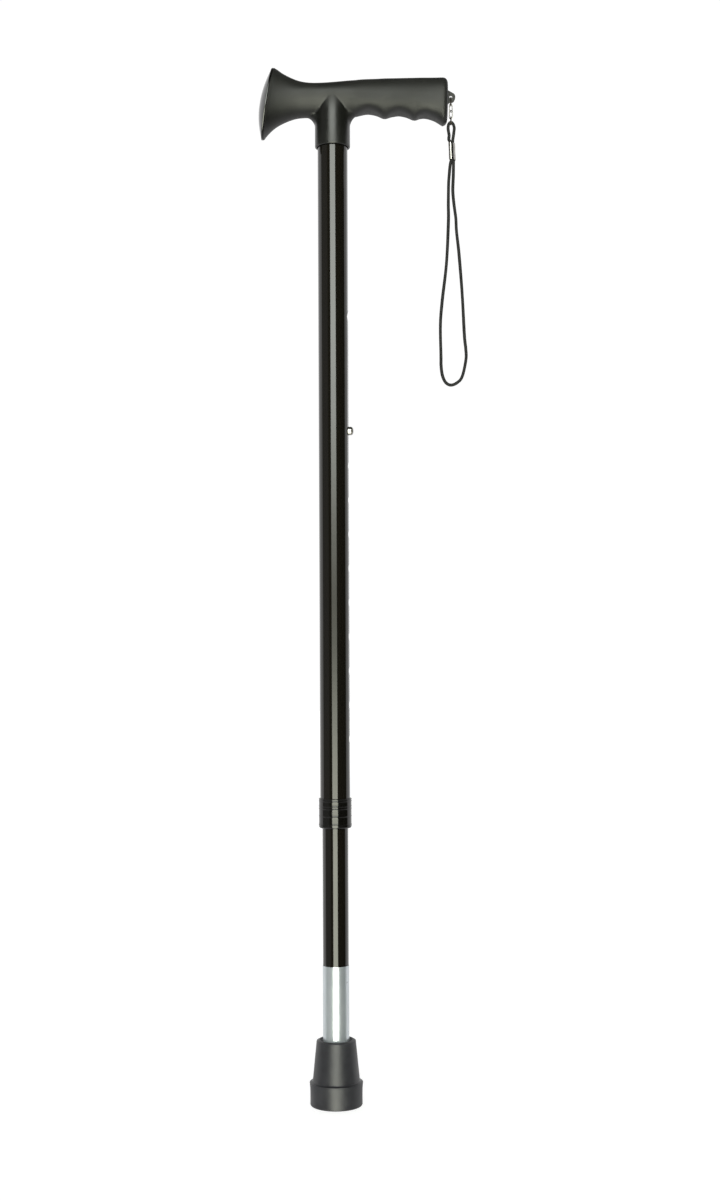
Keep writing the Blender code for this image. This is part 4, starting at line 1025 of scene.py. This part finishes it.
profile = [(TIP_BORE, 7 * MM), (TIP_BORE, 44.4 * MM), (TIP_BORE + 0.35 * MM, 45.6 * MM)]
profile += [(TIP_BORE + 1.3 * MM, 47.0 * MM), (TIP_BORE + 2.2 * MM, 48.1 * MM)]
profile += rounded((TIP_BORE + 2.7 * MM, 48.3 * MM), 0.6 * MM, 150, 72, 4)
profile += rounded((TIP_RIM - 0.5 * MM, TIP_HEIGHT - 1.25 * MM), 0.5 * MM, 72, 6, 4)
profile += [(TIP_RIM + 0.03 * MM, TIP_HEIGHT - 1.6 * MM)]
profile += [(TIP_RIM + 0.13 * MM, TIP_HEIGHT - 2.6 * MM)]
profile += [(17.25 * MM, 21.0 * MM), (17.35 * MM, 20.0 * MM)]
profile += rounded((18.3 * MM, 18.7 * MM), 0.95 * MM, 190, 262, 4)
profile += rounded((19.38 * MM, 17.08 * MM), 0.42 * MM, 88, 2, 4)
profile += [(19.62 * MM, 15.2 * MM), (19.45 * MM, 13.0 * MM)]
profile += [(19.36 * MM, 9 * MM), (19.39 * MM, 2.4 * MM)]
profile += rounded((18.0 * MM, 1.4 * MM), 1.4 * MM, 0, -90, 6)
for inner, outer in ((11.5 * MM, 13.5 * MM), (7.0 * MM, 9.0 * MM)):
    profile += [(outer, 0), (outer - 0.15 * MM, 0.25 * MM), (outer - 0.3 * MM, 1.45 * MM)]
    profile += [(outer - 0.5 * MM, GROOVE_DEPTH), (inner + 0.5 * MM, GROOVE_DEPTH)]
    profile += [(inner + 0.3 * MM, 1.45 * MM), (inner + 0.15 * MM, 0.25 * MM), (inner, 0)]
profile += [(0, 0), (0, 7 * MM)]
rubber, tree, shader = new_finish("black_rubber", (0.027, 0.027, 0.028), 0.45)
skin = skin_on(tree, shader, moulded, 1300.0, 0.00003, 55.0, 0.39, 0.53)
where = add(tree, "TexCoord").outputs["Object"]
bloom = add(tree, "TexNoise", {"Vector": where, "Scale": 110.0, "Detail": 6.0})
pale = ramp(tree, bloom.outputs[0], 0.35, 0.75)
two_tone(tree, shader, pale, (0.027, 0.027, 0.031), (0.040, 0.040, 0.045))
tip = made_piece("moulded_tip", turned(profile), rubber, 45)
stands_for(tip, "rubber_tip", "lower")


# Chain: four oval links of wire, each closed round the next, from the lug's hole down to the eye
# of the cord. The two end links are thicker and darker, the two between them are plated.
THICK_WIRE, THIN_WIRE = 0.42, 0.35
WIRE_SIDES = 12
# For each link: its names, its body, its top, length and width in millimetres, its wire's
# radius, and its turn about the chain.
LINKS = (
    ("lug_link", "strap_link_1", "strap_top", 746.15, 6.2, 3.5, THICK_WIRE, 90),
    ("upper_chain_link", "strap_link_2", "strap", 741.20, 5.9, 3.1, THIN_WIRE, 45),
    ("lower_chain_link", "strap_link_3", "strap", 736.45, 6.0, 3.1, THIN_WIRE, -45),
    ("cord_link", "strap_link_4", "strap", 731.70, 5.8, 3.9, THICK_WIRE, 90),
)
# The two end links get a dark copy of the plated wire's finish; they are darker than the plated links.
dark_end_finish, tree, shader = new_finish("dark_end_wire", (0.05, 0.045, 0.04), 0.35, 1.0)
skin = skin_on(tree, shader, plated, 3200.0, 0.3, 0.45)
two_tone(tree, shader, skin.outputs["Haze"], (0.035, 0.030, 0.026), (0.10, 0.085, 0.07))
for name, node, body, top, length, width, wire, turn in LINKS:
    bow = width / 2
    oval = rounded((0, top - bow), bow, 0, 180, 14)
    oval += rounded((0, top - length + bow), bow, 180, 360, 14)
    oval.append(oval[0])
    c, s = math.cos(math.radians(turn)), math.sin(math.radians(turn))
    points = [Vector((STRAP_X + u * c * MM, u * s * MM, z * MM)) for u, z in oval]
    finish = dark_end_finish if wire == THICK_WIRE else nickel
    bm = drawn_tube(points, wire * MM, WIRE_SIDES, closed=True)
    link = made_piece(name, bm, finish, 60)
    stands_for(link, node, body)


# Studio: a white floor and white screens behind the stick, and a tall soft box beside the lens
# with a dimmer band at the lens's own height. All else in front of it is dark.
# Each light's two edges and their softness, as angles round the stick from the lens:
SOFT_BOX = (math.radians(-20.5), math.radians(19), math.radians(1.5))
SIDE_WALL = (math.radians(-93), math.radians(-42), math.radians(8))
BACK_SCREENS = (math.radians(97), 2 * math.pi, math.radians(4))
BOX_SPAN = (-0.94, 0.72, 0.10)
BAND_MIDDLE, BAND_WIDTH, BAND_LOSS = 0.03, 0.087, 5.85
WALL_LIGHT = 0.22


def build_studio():
    """Lights the stick by direction alone, and shows white paper behind it."""
    world = bpy.data.worlds.new("studio")
    bpy.context.scene.world = world
    world.use_nodes = True
    tree = world.node_tree
    tree.nodes.clear()
    where = add(tree, "SeparateXYZ", {0: add(tree, "TexCoord").outputs["Generated"]})
    x, y, z = where.outputs
    azimuth = math_of(tree, "ARCTAN2", x, math_of(tree, "MULTIPLY", y, -1.0))

    def between(value, low, high, soft):
        up = ramp(tree, value, low - soft, low + soft, 0.0, 1.0, "SMOOTHSTEP")
        down = ramp(tree, value, high - soft, high + soft, 1.0, 0.0, "SMOOTHSTEP")
        return math_of(tree, "MULTIPLY", up, down)

    box_side = between(azimuth, *SOFT_BOX)
    box_span = between(z, *BOX_SPAN)
    off_band = math_of(tree, "DIVIDE", math_of(tree, "SUBTRACT", z, BAND_MIDDLE), BAND_WIDTH)
    off_band = math_of(tree, "MULTIPLY", math_of(tree, "POWER", off_band, 2.0), -1.0)
    band = math_of(tree, "EXPONENT", off_band)
    fall = ramp(tree, z, 0.22, 0.75, 8.0, 2.4)
    boxes = math_of(tree, "MULTIPLY_ADD", band, -BAND_LOSS, fall)
    boxes = math_of(tree, "MULTIPLY", math_of(tree, "MULTIPLY", boxes, box_side), box_span)
    screens = between(math_of(tree, "ABSOLUTE", azimuth), *BACK_SCREENS)
    screens = math_of(tree, "MULTIPLY", screens, ramp(tree, z, -0.34, -0.22, 0.42, 1.12))
    screens = math_of(tree, "MULTIPLY", screens, ramp(tree, z, 0.45, 0.75, 1.0, 0.1))
    floor_light = ramp(tree, z, -0.55, -0.35, 0.45, 0.012)
    wall = math_of(tree, "MULTIPLY", between(azimuth, *SIDE_WALL), WALL_LIGHT)
    light = math_of(tree, "ADD", math_of(tree, "ADD", boxes, screens), floor_light)
    light = math_of(tree, "ADD", light, wall)
    tone = add(tree, "Mix", {"Factor": ramp(tree, z, 0.02, 0.14)}, data_type="RGBA")
    tone.inputs["A"].default_value = (1.0, 1.02, 0.86, 1)
    tone.inputs["B"].default_value = (1.0, 1.04, 0.97, 1)
    cast = add(tree, "Mix", {"Factor": box_side}, data_type="RGBA")
    cast.inputs["A"].default_value = (1.0, 1.0, 1.0, 1)
    tree.links.new(tone.outputs["Result"], cast.inputs["B"])
    studio = add(tree, "Background", {"Color": cast.outputs["Result"], "Strength": light})
    paper = add(tree, "Background", {"Color": (1, 1, 1, 1), "Strength": 1.02})
    seen = add(tree, "LightPath").outputs["Is Camera Ray"]
    both = add(tree, "MixShader", {0: seen, 1: studio.outputs[0], 2: paper.outputs[0]})
    tree.links.new(both.outputs[0], tree.nodes.new("ShaderNodeOutputWorld").inputs["Surface"])


build_studio()
bpy.context.scene.view_settings.view_transform = "Standard"
FLOOR_SIZE, FLOOR_GAP = 8, 0.4 * MM
bm = bmesh.new()
bmesh.ops.create_grid(bm, x_segments=1, y_segments=1, size=FLOOR_SIZE)
bmesh.ops.translate(bm, verts=bm.verts, vec=(0, 0, -FLOOR_GAP))
paper, tree, shader = new_finish("white_paper", (0.42, 0.42, 0.42), 0.9)
shader.inputs["Emission Color"].default_value = (1, 1, 1, 1)
shader.inputs["Emission Strength"].default_value = 0.8
floor = made_piece("floor", bm, paper)
floor.visible_glossy = False
floor.visible_diffuse = False
